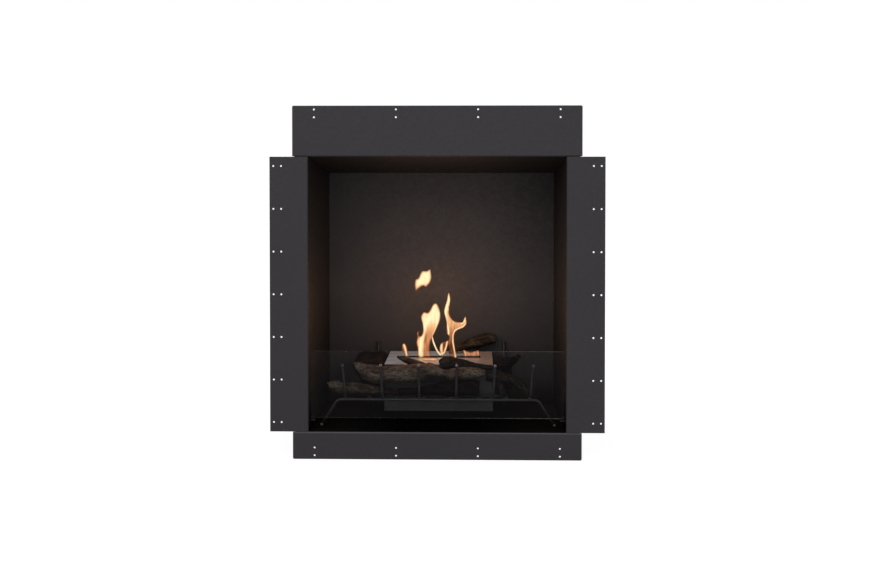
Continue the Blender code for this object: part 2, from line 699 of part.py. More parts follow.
def build_glass(panels):
    """Glass screen standing in two folded clips, each carried by a pin in the side wall."""
    middle = GLASS_SETBACK + GLASS_THICKNESS / 2
    half_width = wall_x(GLASS_BACK) - GLASS_SIDE_CLEARANCE
    pane = flat_mesh("glass_screen", lambda work: box_into(
        work, (-half_width, at_depth(GLASS_SETBACK), GLASS_BOTTOM),
        (half_width, at_depth(GLASS_BACK), GLASS_BOTTOM + GLASS_HEIGHT)))
    glass = add_piece("glass_screen", pane, "clear_glass")
    edge = glass.modifiers.new("Ground edge", 'BEVEL')
    edge.width = GLASS_EDGE_CHAMFER
    edge.segments = 1

    half = CLIP_SHEET / 2
    lip_front = GLASS_SETBACK - CLIP_CLEARANCE - half
    lip_back = GLASS_BACK + CLIP_CLEARANCE + half
    base_z = GLASS_BOTTOM - FIT_GAP - half
    pin_z = base_z - half - FIT_GAP - CLIP_PIN_RADIUS
    path = [(at_depth(lip_front), base_z + CLIP_LIP), (at_depth(lip_front), base_z),
            (at_depth(lip_back), base_z), (at_depth(lip_back), base_z + CLIP_LIP)]
    profile = [(0.0, CLIP_PIN_LENGTH), (CLIP_PIN_RADIUS - CLIP_PIN_CHAMFER, CLIP_PIN_LENGTH),
               (CLIP_PIN_RADIUS, CLIP_PIN_LENGTH - CLIP_PIN_CHAMFER),
               (CLIP_PIN_RADIUS, -SHEET), (0.0, -SHEET)]
    pin = turned_mesh("pin", profile, TURN_STEPS)
    places = []
    wall = wall_x(middle)
    outside = wall_x(lip_back) - FIT_GAP - half
    for side, label in ((-1, "left"), (1, "right")):
        span = sorted((side * outside, side * (outside - CLIP_LENGTH)))
        folded_sheet("glass_clip_" + label, path, span, 0, CLIP_SHEET, CLIP_SHEET, "grate_steel")
        place = Vector((side * wall, at_depth(middle), pin_z))
        places.append(place)
        lay = Matrix.Rotation(-side * math.pi / 2, 4, 'Y')
        smooth(placed_piece("glass_clip_pin_" + label, pin, Matrix.Translation(place) @ lay,
                            "brushed_steel"))
    bores = round_cutters("pin_holes", places, CLIP_PIN_RADIUS + FIT_GAP,
                          2 * (SHEET + CUT_OVERRUN), 0)
    for label in ("left", "right"):
        cut(panels["side_panel_" + label], bores)


def rounded_slab(name, low, high, radius):
    """A box mesh whose upright edges are rounded."""
    def build(work):
        box_into(work, low, high)
        edges = [edge for edge in work.edges
                 if abs(edge.verts[0].co.z - edge.verts[1].co.z) > radius]
        bmesh.ops.bevel(work, geom=edges, offset=radius, segments=BEND_STEPS, profile=0.5,
                        affect='EDGES')

    return flat_mesh(name, build)


def build_burner():
    """Ethanol burner: open tank, slotted top plate, wick, damper with guides, and stand."""
    half_width = BURNER_WIDTH / 2
    tank_top = TOP_PLATE_UNDER - FIT_GAP

    def open_box(work):
        box_into(work, (-half_width, at_depth(BURNER_SETBACK), BURNER_BOTTOM),
                 (half_width, at_depth(BURNER_BACK), tank_top))
        top = max(work.faces, key=lambda face: face.calc_center_median().z)
        bmesh.ops.delete(work, geom=[top], context='FACES_ONLY')

    tank = add_piece("burner_tank", flat_mesh("burner_tank", open_box), "chamber_black")
    shell = tank.modifiers.new("Sheet", 'SOLIDIFY')
    shell.thickness = BURNER_SHEET
    shell.offset = -1.0
    shell.use_even_offset = True

    plate = flat_mesh("burner_top_plate", lambda work: box_into(
        work, (-half_width, at_depth(BURNER_SETBACK), TOP_PLATE_UNDER),
        (half_width, at_depth(BURNER_BACK), BURNER_TOP)))
    plate = add_piece("burner_top_plate", plate, "brushed_steel")
    slot = rounded_slab("slot", (-SLOT_LENGTH / 2, at_depth(SLOT_FRONT),
                                 TOP_PLATE_UNDER - CUT_OVERRUN),
                        (SLOT_LENGTH / 2, at_depth(SLOT_BACK), BURNER_TOP + CUT_OVERRUN),
                        SLOT_CORNER_RADIUS)
    cut(plate, add_cutter("slot", slot))

    inside = BURNER_SHEET + WICK_CLEARANCE
    wick_low = BURNER_BOTTOM + BURNER_SHEET + FIT_GAP
    wick = rounded_slab("burner_wick",
                        (inside - half_width, at_depth(BURNER_SETBACK + inside), wick_low),
                        (half_width - inside, at_depth(BURNER_BACK - inside),
                         wick_low + WICK_HEIGHT), WICK_EDGE_RADIUS)
    add_piece("burner_wick", wick, "ceramic_wool")

    damper_half = SLOT_LENGTH / 2 + DAMPER_OVERLAP
    damper_high = TOP_PLATE_UNDER - FIT_GAP
    damper_low = damper_high - DAMPER_SHEET
    damper_back = SLOT_FRONT + DAMPER_PARKED_LAP
    damper_front = damper_back - DAMPER_DEPTH
    tab_front = SLOT_FRONT + FIT_GAP
    half = DAMPER_SHEET / 2
    plate_z = damper_high - half
    blade = flat_mesh("damper_blade", lambda work: box_into(
        work, (-damper_half, at_depth(damper_front), damper_low),
        (damper_half, at_depth(damper_back), damper_high)))
    damper = add_piece("damper_plate", blade, "brushed_steel")
    tab = flat_mesh("damper_tab", lambda work: box_into(
        work, (DAMPER_TAB_X - DAMPER_TAB_WIDTH / 2, at_depth(tab_front), plate_z),
        (DAMPER_TAB_X + DAMPER_TAB_WIDTH / 2, at_depth(tab_front + DAMPER_SHEET),
         BURNER_TOP + DAMPER_TAB_HEIGHT - DAMPER_SHEET)))
    join(damper, add_cutter("damper_tab", tab))

    guide_half = GUIDE_SHEET / 2
    lip_z = damper_low - FIT_GAP - guide_half
    web_x = damper_half + GUIDE_SIDE_CLEARANCE + guide_half
    travel_end = damper_back + SLOT_WIDTH
    span = (at_depth(damper_front - GUIDE_OVERRUN), at_depth(travel_end + GUIDE_OVERRUN))
    for side, label in ((-1, "left"), (1, "right")):
        path = [(side * (web_x + GUIDE_LIP), TOP_PLATE_UNDER - FIT_GAP - guide_half),
                (side * web_x, TOP_PLATE_UNDER - FIT_GAP - guide_half), (side * web_x, lip_z),
                (side * (web_x - GUIDE_LIP), lip_z)]
        folded_sheet("damper_guide_" + label, path, span, 1, GUIDE_SHEET, 0.0, "brushed_steel")

    half = STAND_SHEET / 2
    crown = half_width - STAND_SIDE_INSET
    top_z = BURNER_BOTTOM - FIT_GAP - half
    low_z = FLOOR_Z + FIT_GAP + half
    path = [(-crown - STAND_FOOT, low_z), (-crown, low_z), (-crown, top_z), (crown, top_z),
            (crown, low_z), (crown + STAND_FOOT, low_z)]
    span = (at_depth(BURNER_SETBACK + STAND_RECESS), at_depth(BURNER_BACK - STAND_RECESS))
    folded_sheet("burner_stand", path, span, 1, STAND_SHEET, STAND_SHEET, "chamber_black")


def leg_rail(name, depth):
    """A straight rail whose ends bend down to legs, each with a ball foot welded on."""
    foot_x = RAIL_HALF_WIDTH + LEG_SPREAD
    foot_z = FLOOR_Z + FIT_GAP + FOOT_BALL_RADIUS
    points = [(-foot_x, at_depth(depth), foot_z), (-RAIL_HALF_WIDTH, at_depth(depth), RAIL_Z),
              (RAIL_HALF_WIDTH, at_depth(depth), RAIL_Z), (foot_x, at_depth(depth), foot_z)]
    bent = rod(name + "_rod", rounded_path(points, RAIL_BEND_RADIUS, ROD_BEND_STEPS), ROD_RADIUS,
               "grate_steel")
    rail = add_piece(name, mesh_of(bent), "grate_steel")
    bpy.data.objects.remove(bent, do_unlink=True)

    def balls(work):
        for x in (-foot_x, foot_x):
            bmesh.ops.create_uvsphere(work, u_segments=TURN_STEPS, v_segments=TURN_STEPS // 2,
                                      radius=FOOT_BALL_RADIUS,
                                      matrix=Matrix.Translation((x, at_depth(depth), foot_z)))

    join(rail, add_cutter(name + "_feet", flat_mesh(name + "_feet", balls)))
    return smooth(rail)


def build_grate():
    """Log grate: legged front rail, side, inner and cross bars, rear uprights and tines."""
    pieces = [leg_rail("grate_front_rail", RAIL_SETBACK)]
    clear = ROD_RADIUS + FIT_GAP
    post_clear = TINE_RADIUS + FIT_GAP
    for side, label in ((-1, "left"), (1, "right")):
        x = side * SIDE_BAR_X
        pieces.append(rod("grate_side_bar_" + label,
                          [(x, at_depth(RAIL_SETBACK + clear), RAIL_Z),
                           (x, at_depth(REAR_RAIL_DEPTH - post_clear), RAIL_Z)],
                          ROD_RADIUS, "grate_steel"))
        pieces.append(rod("grate_post_" + label,
                          [(x, at_depth(REAR_RAIL_DEPTH), FLOOR_Z + FIT_GAP),
                           (x, at_depth(REAR_RAIL_DEPTH), FLOOR_Z + FIT_GAP + POST_HEIGHT)],
                          TINE_RADIUS, "grate_steel"))
    rear_end = SIDE_BAR_X - post_clear
    pieces.append(rod("grate_rear_rail", [(-rear_end, at_depth(REAR_RAIL_DEPTH), RAIL_Z),
                                          (rear_end, at_depth(REAR_RAIL_DEPTH), RAIL_Z)],
                      TINE_RADIUS, "grate_steel"))
    inner_end = SIDE_BAR_X - clear
    pieces.append(rod("grate_inner_rail", [(-inner_end, at_depth(INNER_RAIL_DEPTH), RAIL_Z),
                                           (inner_end, at_depth(INNER_RAIL_DEPTH), RAIL_Z)],
                      ROD_RADIUS, "grate_steel"))

    for index in range(CROSS_BAR_COUNT):
        x = (index - (CROSS_BAR_COUNT - 1) / 2) * CROSS_BAR_PITCH
        pieces.append(rod("grate_cross_bar_%d" % (index + 1),
                          [(x, at_depth(RAIL_SETBACK + clear), RAIL_Z),
                           (x, at_depth(INNER_RAIL_DEPTH - clear), RAIL_Z)],
                          ROD_RADIUS, "grate_steel"))

    neck = TINE_HEIGHT - math.sqrt(TINE_BALL_RADIUS ** 2 - TINE_RADIUS ** 2)
    start = math.asin(TINE_RADIUS / TINE_BALL_RADIUS)
    ball = []
    for step in range(BEND_STEPS * 2 + 1):
        turn = (math.pi - start) * step / (BEND_STEPS * 2)
        ball.append((TINE_BALL_RADIUS * math.sin(turn), TINE_HEIGHT + TINE_BALL_RADIUS * math.cos(turn)))
    ball[0] = (0.0, TINE_HEIGHT + TINE_BALL_RADIUS)
    ball[-1] = (TINE_RADIUS, neck)
    tine = turned_mesh("tine", ball + [(TINE_RADIUS, clear), (0.0, clear)], TURN_STEPS)
    for index in range(TINE_COUNT):
        x = (index - (TINE_COUNT - 1) / 2) * TINE_PITCH
        piece = add_piece("grate_tine_%d" % (index + 1), tine.copy(), "grate_steel")
        lean = Vector((x * TINE_FAN_SHARE, -TINE_LEAN, TINE_HEIGHT))
        piece.rotation_mode = 'QUATERNION'
        piece.rotation_quaternion = lean.to_track_quat('Z', 'Y')
        piece.location = (x, at_depth(RAIL_SETBACK), RAIL_Z)
        pieces.append(smooth(piece))

    return pieces


def path_point(rows, position):
    """A smooth point (Catmull-Rom) along the rows of a log, at a position in rows."""
    index = min(int(position), len(rows) - 2)
    t = position - index
    before, start = rows[max(index - 1, 0)], rows[index]
    end, after = rows[index + 1], rows[min(index + 2, len(rows) - 1)]
    return [0.5 * (2 * b + (c - a) * t + (2 * a - 5 * b + 4 * c - d) * t * t
                   + (3 * b - a - 3 * c + d) * t ** 3)
            for a, b, c, d in zip(before, start, end, after)]


def section_reach(turn, share, split):
    """How far a log's section reaches in one direction, as a share of its radius."""
    lumps = sum(depth_share * math.sin(waves * turn + phase + drift * share)
                for waves, depth_share, phase, drift in LOG_LUMP_SHARES)
    if not split:
        return 1.0 + lumps
    reach = 1.0 - SPLIT_SQUARE_SHARE * math.cos(4 * turn) + SPLIT_LUMP_SHARE * lumps
    facing = math.cos(turn - SPLIT_FACE_TURN)
    return min(reach, SPLIT_FACE_SHARE / facing) if facing > 0 else reach


def limb_mesh(name, shares, bed, split):
    """A bent log with lumpy rings, lofted along its rows of shares of a bed's depth."""
    rows = [(x * RAIL_HALF_WIDTH, at_depth(RAIL_SETBACK + y * bed),
             LOG_START_Z + z * LOG_RADIUS, radius * LOG_RADIUS) for x, y, z, radius in shares]
    count = (len(rows) - 1) * LOG_RINGS_PER_POINT
    samples = [path_point(rows, index / LOG_RINGS_PER_POINT) for index in range(count + 1)]
    centres = [Vector(sample[:3]) for sample in samples]
    ring_turn = SPLIT_RING_TURN_SHARE if split else 0.0

    def build(work):
        rings = []
        for index, centre in enumerate(centres):
            ahead = centres[min(index + 1, count)] - centres[max(index - 1, 0)]
            side = ahead.cross(Vector((0, 0, 1)))
            if side.length < ahead.length / 4:
                side = ahead.cross(Vector((0, 1, 0)))
            side.normalize()
            up = side.cross(ahead).normalized()
            ring = []
            for point in range(LOG_RING_POINTS):
                turn = 2 * math.pi * (point + ring_turn) / LOG_RING_POINTS
                reach = samples[index][3] * section_reach(turn, index / count, split)
                ring.append(work.verts.new(centre + (side * math.cos(turn)
                                                     + up * math.sin(turn)) * reach))
            rings.append(ring)
        for low, high in zip(rings, rings[1:]):
            for point in range(LOG_RING_POINTS):
                after = (point + 1) % LOG_RING_POINTS
                work.faces.new((low[point], low[after], high[after], high[point]))
        work.faces.new(rings[0])
        work.faces.new(rings[-1])
        bmesh.ops.recalc_face_normals(work, faces=work.faces)

    return flat_mesh(name, build)


def world_shape(obj):
    """World vertices, edges and faces of a piece as it is built."""
    mesh = mesh_of(obj)
    points = [obj.matrix_world @ vertex.co for vertex in mesh.vertices]
    edges = [tuple(edge.vertices) for edge in mesh.edges]
    faces = [tuple(face.vertices) for face in mesh.polygons]
    bpy.data.meshes.remove(mesh)
    return points, edges, faces


def edge_samples(points, edges, low, high):
    """Points along every edge that lie over a box in plan, a small step apart."""
    for first, second in edges:
        start, end = points[first], points[second]
        if max(start.x, end.x) < low.x or min(start.x, end.x) > high.x:
            continue
        if max(start.y, end.y) < low.y or min(start.y, end.y) > high.y:
            continue
        steps = max(1, math.ceil((end - start).length / (LOG_RADIUS * LOG_SAMPLE_SHARE)))
        for step in range(steps + 1):
            yield start.lerp(end, step / steps)


def lower_onto(obj, supports):
    """Let a piece sink straight down until it nearly touches what carries it."""
    points, edges, faces = world_shape(obj)
    low = Vector([min(point[axis] for point in points) for axis in range(3)])
    high = Vector([max(point[axis] for point in points) for axis in range(3)])
    tree = BVHTree.FromPolygons(points, faces)
    down, up = Vector((0, 0, -1)), Vector((0, 0, 1))
    room = []
    for below_points, below_edges, below_faces in supports:
        below = BVHTree.FromPolygons(below_points, below_faces)
        for start in edge_samples(points, edges, low, high):
            hit = below.ray_cast(start, down)
            if hit[0]:
                room.append(hit[3])
        for start in edge_samples(below_points, below_edges, low, high):
            hit = tree.ray_cast(start, up)
            if hit[0]:
                room.append(hit[3])
    obj.location.z -= min(room) - LOG_GAP
    return world_shape(obj)


def build_logs(carriers):
    """Ceramic logs, laid one after another on the grate and on each other."""
    supports = [world_shape(piece) for piece in carriers]
    for name in LOG_SUPPORT_ORDER:
        bed = REAR_BED_DEPTH if name in REAR_BED_LOGS else FRONT_BED_DEPTH
        split = name == "log_split"
        if name in LOG_SHARES:
            limb = limb_mesh(name, LOG_SHARES[name], bed, split)
            obj = add_piece(name, limb, "ceramic_log")
        else:
            parts = LOG_LIMB_SHARES[name]
            limb = limb_mesh(name, parts["limb"], bed, split)
            obj = add_piece(name, limb, "ceramic_log")
            twig = limb_mesh(name + "_stub", parts["stub"], bed, split)
            stub = add_cutter(name + "_stub", twig)
            stub.parent = obj
            join(obj, stub)
        smooth(obj)
        supports.append(lower_onto(obj, supports))


def build_firebox():
    """The whole object, from the flanges inwards."""
    panels = build_flanged_panels()
    build_casing()
    build_spacers()
    build_glass(panels)
    build_burner()
    grate = build_grate()
    carriers = grate + [MODEL.objects[name] for name in
                        ("burner_top_plate", "back_panel", "bottom_panel", "glass_screen")]
    build_logs(carriers)


build_firebox()
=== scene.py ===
"""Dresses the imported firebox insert: finishes, logs, grate rods, screws, flames and stage.

The file is laid out as a Blender add-on and run as a script. Lengths are in metres in the
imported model's frame: X to the right, Y into the firebox, Z up.
"""

import json
import math

import bmesh
import bpy
import numpy as np
from bpy.props import FloatProperty, FloatVectorProperty, IntProperty, PointerProperty
from mathutils import Matrix, Vector, geometry, noise

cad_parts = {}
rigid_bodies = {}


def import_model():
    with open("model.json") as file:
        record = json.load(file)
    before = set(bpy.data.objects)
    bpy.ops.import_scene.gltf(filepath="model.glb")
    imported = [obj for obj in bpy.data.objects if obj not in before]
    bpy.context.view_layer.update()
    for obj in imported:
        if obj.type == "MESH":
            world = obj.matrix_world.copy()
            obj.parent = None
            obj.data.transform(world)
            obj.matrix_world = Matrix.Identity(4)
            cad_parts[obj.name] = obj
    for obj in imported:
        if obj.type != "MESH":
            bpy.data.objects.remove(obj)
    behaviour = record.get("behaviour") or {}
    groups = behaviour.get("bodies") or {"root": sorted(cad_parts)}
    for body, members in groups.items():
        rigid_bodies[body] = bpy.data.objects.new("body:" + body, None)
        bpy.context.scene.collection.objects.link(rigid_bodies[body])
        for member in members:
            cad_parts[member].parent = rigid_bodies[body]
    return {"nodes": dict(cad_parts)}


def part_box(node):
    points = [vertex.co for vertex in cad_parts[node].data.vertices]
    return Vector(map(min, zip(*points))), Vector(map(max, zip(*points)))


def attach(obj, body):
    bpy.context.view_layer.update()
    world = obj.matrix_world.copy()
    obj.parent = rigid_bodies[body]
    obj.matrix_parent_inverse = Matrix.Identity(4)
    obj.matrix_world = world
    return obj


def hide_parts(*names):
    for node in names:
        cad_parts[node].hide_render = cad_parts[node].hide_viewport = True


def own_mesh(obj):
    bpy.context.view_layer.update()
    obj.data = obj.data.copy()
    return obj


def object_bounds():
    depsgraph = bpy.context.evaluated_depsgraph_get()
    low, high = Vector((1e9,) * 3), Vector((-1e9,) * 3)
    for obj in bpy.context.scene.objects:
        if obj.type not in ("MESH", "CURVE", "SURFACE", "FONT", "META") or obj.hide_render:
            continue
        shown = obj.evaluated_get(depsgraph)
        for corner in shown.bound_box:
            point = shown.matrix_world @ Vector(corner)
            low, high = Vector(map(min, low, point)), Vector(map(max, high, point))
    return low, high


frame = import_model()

bl_info = {
    "name": "Firebox Dressing",
    "version": (1, 0, 0),
    "blender": (4, 5, 0),
    "location": "3D View > Sidebar > Firebox",
    "description": "Dresses the packed firebox with finishes, logs, rods, flames and a stage",
    "category": "Object",
}

NODES = frame["nodes"]
CAD_LOW, CAD_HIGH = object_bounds()
FRONT_Y = CAD_LOW.y

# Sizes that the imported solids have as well
ROD_RADIUS = 0.004
TINE_HEIGHT = 0.0735
TINE_FAN_SHARE = 0.0365
TINE_LEAN = 0.006
TINE_COUNT = 6
TINE_PITCH = 0.0782
FOOT_BALL_RADIUS = 0.0048
RAIL_HALF_WIDTH = 0.213
RAIL_SETBACK = 0.062
BURNER_SETBACK = 0.125
REAR_RAIL_DEPTH = 0.3505
FLANGE_SCREW_PITCH = 0.1702
SILL_HEIGHT = 0.057
LOG_RADIUS = 0.018

# Rods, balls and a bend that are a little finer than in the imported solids
FRONT_ROD_RADIUS = 0.0030
TINE_RADIUS = 0.0030
TINE_BALL_RADIUS = 0.0036
WORN_FOOT_RADIUS = 0.0037
RAIL_BEND_RADIUS = 0.015

# How finely turned, bent and beaded shapes are divided
BEND_STEPS = 12
FOOT_STEPS = 14
BALL_STEPS = 12
BEAD_AROUND = 26
BEAD_ACROSS = 8
SCREW_SIDES = 32
FLOOR_SIDES = 96

# Weld beads: how far their middle stands off a rod, and their length, beside their thickness
BEAD_STAND_OFF = 0.2
BEAD_LENGTH = 1.25

# Casing screws: shank, head and the head's dome as (radius share, height share)
SCREW_SHANK_RADIUS = 0.0016
SCREW_SHANK_TOP = -0.0001
SCREW_HEAD_HEIGHT = 0.0022
SCREW_HEAD_CHAMFER = 0.0004
SCREW_HEAD_DOME = ((1.0, 0.45), (0.93, 0.70), (0.76, 0.90), (0.45, 0.99), (0.10, 1.0))
SCREW_FIRST_TURN = 0.35
SCREW_NEXT_TURN = 0.9
NOTCH_CUT_DEPTH = 0.006

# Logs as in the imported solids: rows of (x share of the rail's half width, depth share of the
# log's bed, height share and radius share of the log radius)
LOG_LIMBS = {
    "log_lower_centre": [[(-0.39, 0.38, -0.12, 0.42), (-0.20, 0.36, -0.06, 0.48),
                          (0.00, 0.38, 0.16, 0.76), (0.21, 0.36, 0.42, 1.04),
                          (0.405, 0.38, 0.38, 0.98)]],
    "log_lower_left": [[(-1.11, 0.24, 0.42, 0.36), (-1.06, 0.26, 0.40, 0.58),
                        (-0.94, 0.30, 0.16, 0.74), (-0.74, 0.36, -0.02, 0.70),
                        (-0.56, 0.42, -0.24, 0.56), (-0.41, 0.48, -0.42, 0.36)]],
    "log_knotted": [[(0.02, 0.73, -0.30, 0.60), (0.08, 0.73, -0.08, 0.82),
                     (0.18, 0.74, -0.06, 0.73), (0.34, 0.76, -0.32, 0.48),
                     (0.47, 0.78, -0.52, 0.32), (0.57, 0.80, -0.60, 0.20)]],
    "log_split": [[(-0.735, 0.284, 0.00, 2.00), (-0.733, 0.48, 0.02, 2.02),
                   (-0.737, 0.721, 0.04, 2.02), (-0.735, 0.917, 0.00, 1.98)]],
    "log_back": [[(0.10, 0.817, -0.10, 0.30), (0.22, 0.856, 0.40, 0.50),
                  (0.36, 0.908, 0.86, 0.78), (0.48, 0.952, 1.22, 0.86),
                  (0.57, 0.978, 1.32, 0.70)]],
    "log_long": [[(-0.86, 0.44, 0.92, 0.48), (-0.80, 0.42, 0.68, 0.80),
                  (-0.70, 0.40, 0.20, 1.06), (-0.50, 0.38, -0.06, 1.16),
                  (-0.26, 0.40, 0.12, 1.24), (-0.09, 0.42, 0.24, 1.20),
                  (0.06, 0.44, -0.02, 0.76), (0.21, 0.40, 0.18, 0.76),
                  (0.36, 0.36, 0.26, 0.72), (0.47, 0.34, 0.30, 0.40)],
                 [(-0.42, 1.22, 1.74, 0.16), (-0.37, 1.08, 1.54, 0.32),
                  (-0.28, 0.90, 1.30, 0.44), (-0.20, 0.70, 1.02, 0.50),
                  (-0.12, 0.52, 0.72, 0.44)]],
    "log_lower_right": [[(0.49, 0.72, 0.74, 0.56), (0.58, 0.72, 0.62, 0.72),
                         (0.72, 0.68, 0.50, 0.62), (0.84, 0.56, -0.26, 0.60),
                         (0.91, 0.42, -1.00, 0.60), (0.96, 0.36, -1.66, 0.50)],
                        [(0.60, 0.72, 0.20, 0.46), (0.635, 0.70, -0.70, 0.40),
                         (0.655, 0.66, -1.50, 0.28)]],
    "log_forked": [[(0.60, 0.371, 0.60, 0.90), (0.68, 0.405, 0.44, 0.74),
                    (0.76, 0.46, 0.64, 0.54), (0.83, 0.546, 1.00, 0.24)],
                   [(0.69, 0.426, 0.00, 0.60), (0.70, 0.432, -1.30, 0.56),
                    (0.71, 0.441, -2.70, 0.48)]],
}
REAR_BED_LOGS = ("log_forked", "log_split", "log_back")
LOG_LUMP_SHARES = ((2, 0.09, 0.4, 1.7), (3, 0.05, 1.9, -2.3), (5, 0.025, 0.7, 3.1))
SPLIT_SQUARE_SHARE = 0.12
SPLIT_LUMP_SHARE = 0.35
SPLIT_FACE_TURN = math.radians(214)
SPLIT_FACE_SHARE = 0.45
SPLIT_RING_TURN_SHARE = 0.5
CAD_RINGS_PER_ROW = 3
CAD_RING_POINTS = 12

# How light each log is at its left and right ends, beside the lightest one: its own tone and
# painted shade, such as the shadow on the lower centre log and the lower left log's darker right
# end
LOG_TONES_AND_SHADE = {"log_lower_centre": (0.07, 0.09), "log_lower_left": (1.15, 0.12),
             "log_knotted": (0.25, 0.20), "log_split": (0.17, 0.15), "log_back": (0.50, 0.66),
             "log_long": (1.02, 1.02), "log_lower_right": (0.25, 0.22),
             "log_forked": (0.16, 0.16)}

# Limbs that are darker than their log
TWIG_TONES = {("log_long", 1): 0.5}

# How far the lower edge of a log's first end is cut back
LOG_SLANTS = {"log_long": 0.017, "log_lower_left": 0.006}

# Knots as (log, limb, share of the length, angle round the log, radius, height)
KNOTS = (
    ("log_long", 0, 0.17, 4.3, 0.0060, 0.0016), ("log_long", 0, 0.47, 5.2, 0.0085, 0.0022),
    ("log_long", 0, 0.60, 1.9, 0.0070, 0.0020), ("log_long", 0, 0.665, 5.35, 0.0120, -0.0030),
    ("log_long", 0, 0.80, 4.6, 0.0050, 0.0015), ("log_split", 0, 0.35, 1.4, 0.0100, 0.0022),
    ("log_lower_left", 0, 0.12, 1.3, 0.0055, 0.0018),
    ("log_lower_left", 0, 0.55, 4.8, 0.0050, 0.0012),
    ("log_knotted", 0, 0.16, 1.6, 0.0070, 0.0024), ("log_knotted", 0, 0.40, 4.4, 0.0045, 0.0014),
    ("log_lower_right", 0, 0.35, 4.9, 0.0050, 0.0016),
    ("log_lower_centre", 0, 0.62, 4.7, 0.0060, 0.0014),
    ("log_back", 0, 0.62, 4.4, 0.0065, 0.0016), ("log_forked", 0, 0.45, 4.5, 0.0050, 0.0016),
)

# Painted shade under stretches of a limb, as (log, limb, first and last share of the length,
# height share of the section below which the bark is painted dark)
UNDERSIDE_SHADES = (("log_long", 0, 0.49, 0.72, 0.22),)

# Flames turn see-through towards their roots, from this height down
FLAME_ROOT_LOW = 0.1785
FLAME_ROOT_FADE = 0.026

# Flame outlines as (x, z) points in the plane of the burner's slot
FLAME_OUTLINES = {
    "flame_left": [
        (-0.0510, 0.1812), (-0.0514, 0.1982), (-0.0557, 0.2133), (-0.0520, 0.2246),
        (-0.0529, 0.2340), (-0.0495, 0.2406), (-0.0453, 0.2425), (-0.0463, 0.2340),
        (-0.0435, 0.2284), (-0.0397, 0.2341), (-0.0387, 0.2434), (-0.0406, 0.2548),
        (-0.0435, 0.2698), (-0.0397, 0.2802), (-0.0350, 0.2821), (-0.0275, 0.2812),
        (-0.0219, 0.2888), (-0.0171, 0.2981), (-0.0119, 0.3023), (-0.0068, 0.3010),
        (-0.0022, 0.2925), (0.0012, 0.2775), (-0.0003, 0.2625), (-0.0058, 0.2473),
        (-0.0124, 0.2342), (-0.0171, 0.2237), (-0.0205, 0.2134), (-0.0226, 0.1983),
        (-0.0205, 0.1813)],
    "flame_right": [
        (0.0393, 0.1797), (0.0359, 0.1891), (0.0332, 0.2061), (0.0317, 0.2211),
        (0.0327, 0.2325), (0.0393, 0.2409), (0.0486, 0.2447), (0.0571, 0.2504),
        (0.0605, 0.2602), (0.0594, 0.2656), (0.0578, 0.2738), (0.0529, 0.2672),
        (0.0495, 0.2598), (0.0392, 0.2604), (0.0298, 0.2645), (0.0232, 0.2729),
        (0.0204, 0.2832), (0.0219, 0.2964), (0.0238, 0.3118), (0.0216, 0.3243),
        (0.0189, 0.3284), (0.0169, 0.3200), (0.0139, 0.3058), (0.0092, 0.2907),
        (0.0088, 0.2813), (0.0120, 0.2700), (0.0145, 0.2569), (0.0133, 0.2398),
        (0.0148, 0.2333), (0.0190, 0.2286), (0.0177, 0.2192), (0.0083, 0.2144),
        (0.0017, 0.2107), (-0.0012, 0.2022), (-0.0006, 0.1927), (0.0036, 0.1833),
        (0.0092, 0.1843), (0.0139, 0.1928), (0.0183, 0.2060), (0.0204, 0.1947),
        (0.0216, 0.1796)],
    "flame_torn": [
        (-0.0557, 0.3300), (-0.0581, 0.3432), (-0.0557, 0.3554), (-0.0491, 0.3592),
        (-0.0444, 0.3695), (-0.0397, 0.3752), (-0.0304, 0.3756), (-0.0224, 0.3794),
        (-0.0206, 0.3734), (-0.0190, 0.3603), (-0.0219, 0.3499), (-0.0275, 0.3423),
        (-0.0321, 0.3380), (-0.0387, 0.3405), (-0.0454, 0.3367), (-0.0520, 0.3310)],
    "flame_small_left": [
        (-0.0820, 0.2122), (-0.0764, 0.2085), (-0.0730, 0.1981), (-0.0717, 0.1878),
        (-0.0689, 0.1802), (-0.0793, 0.1801), (-0.0820, 0.1887), (-0.0863, 0.1961),
        (-0.0858, 0.2065)],
    "flame_small_right": [
        (0.0518, 0.1972), (0.0597, 0.1952), (0.0694, 0.1930), (0.0787, 0.1952),
        (0.0862, 0.1968), (0.0891, 0.1915), (0.0883, 0.1838), (0.0806, 0.1823),
        (0.0656, 0.1828), (0.0562, 0.1824), (0.0545, 0.1878)],
    "flame_low": [
        (-0.0560, 0.1868), (-0.0440, 0.1898), (-0.0250, 0.1904), (-0.0060, 0.1902),
        (-0.0010, 0.1860), (-0.0050, 0.1820), (-0.0210, 0.1822), (-0.0360, 0.1836)],
    "flame_thread": [
        (-0.0190, 0.2269), (-0.0174, 0.2157), (-0.0111, 0.1996), (-0.0057, 0.1896),
        (0.0005, 0.1836), (0.0036, 0.1869), (-0.0022, 0.1923), (-0.0073, 0.2013),
        (-0.0134, 0.2170), (-0.0164, 0.2274)],
}

# How hot a flame's body is, as (height where it is cool, height where it is hot, coolest,
# hottest, width of its soft edge)
FLAME_BODIES = {
    "flame_left": (0.226, 0.268, 0.38, 0.86, 0.0056),
    "flame_right": (0.205, 0.266, 0.14, 0.60, 0.0032),
    "flame_torn": (0.330, 0.360, 0.74, 0.98, 0.0078),
    "flame_small_left": (0.181, 0.233, 0.24, 0.45, 0.0026),
    "flame_small_right": (0.179, 0.215, 0.42, 0.56, 0.0030),
    "flame_thread": (0.121, 0.181, 0.55, 0.90, 0.0016),
    "flame_low": (0.121, 0.181, 0.30, 0.44, 0.0030),
}

# The flame that licks over the front of the burner instead of standing in its slot
LOW_FLAME_DEPTH = 0.172

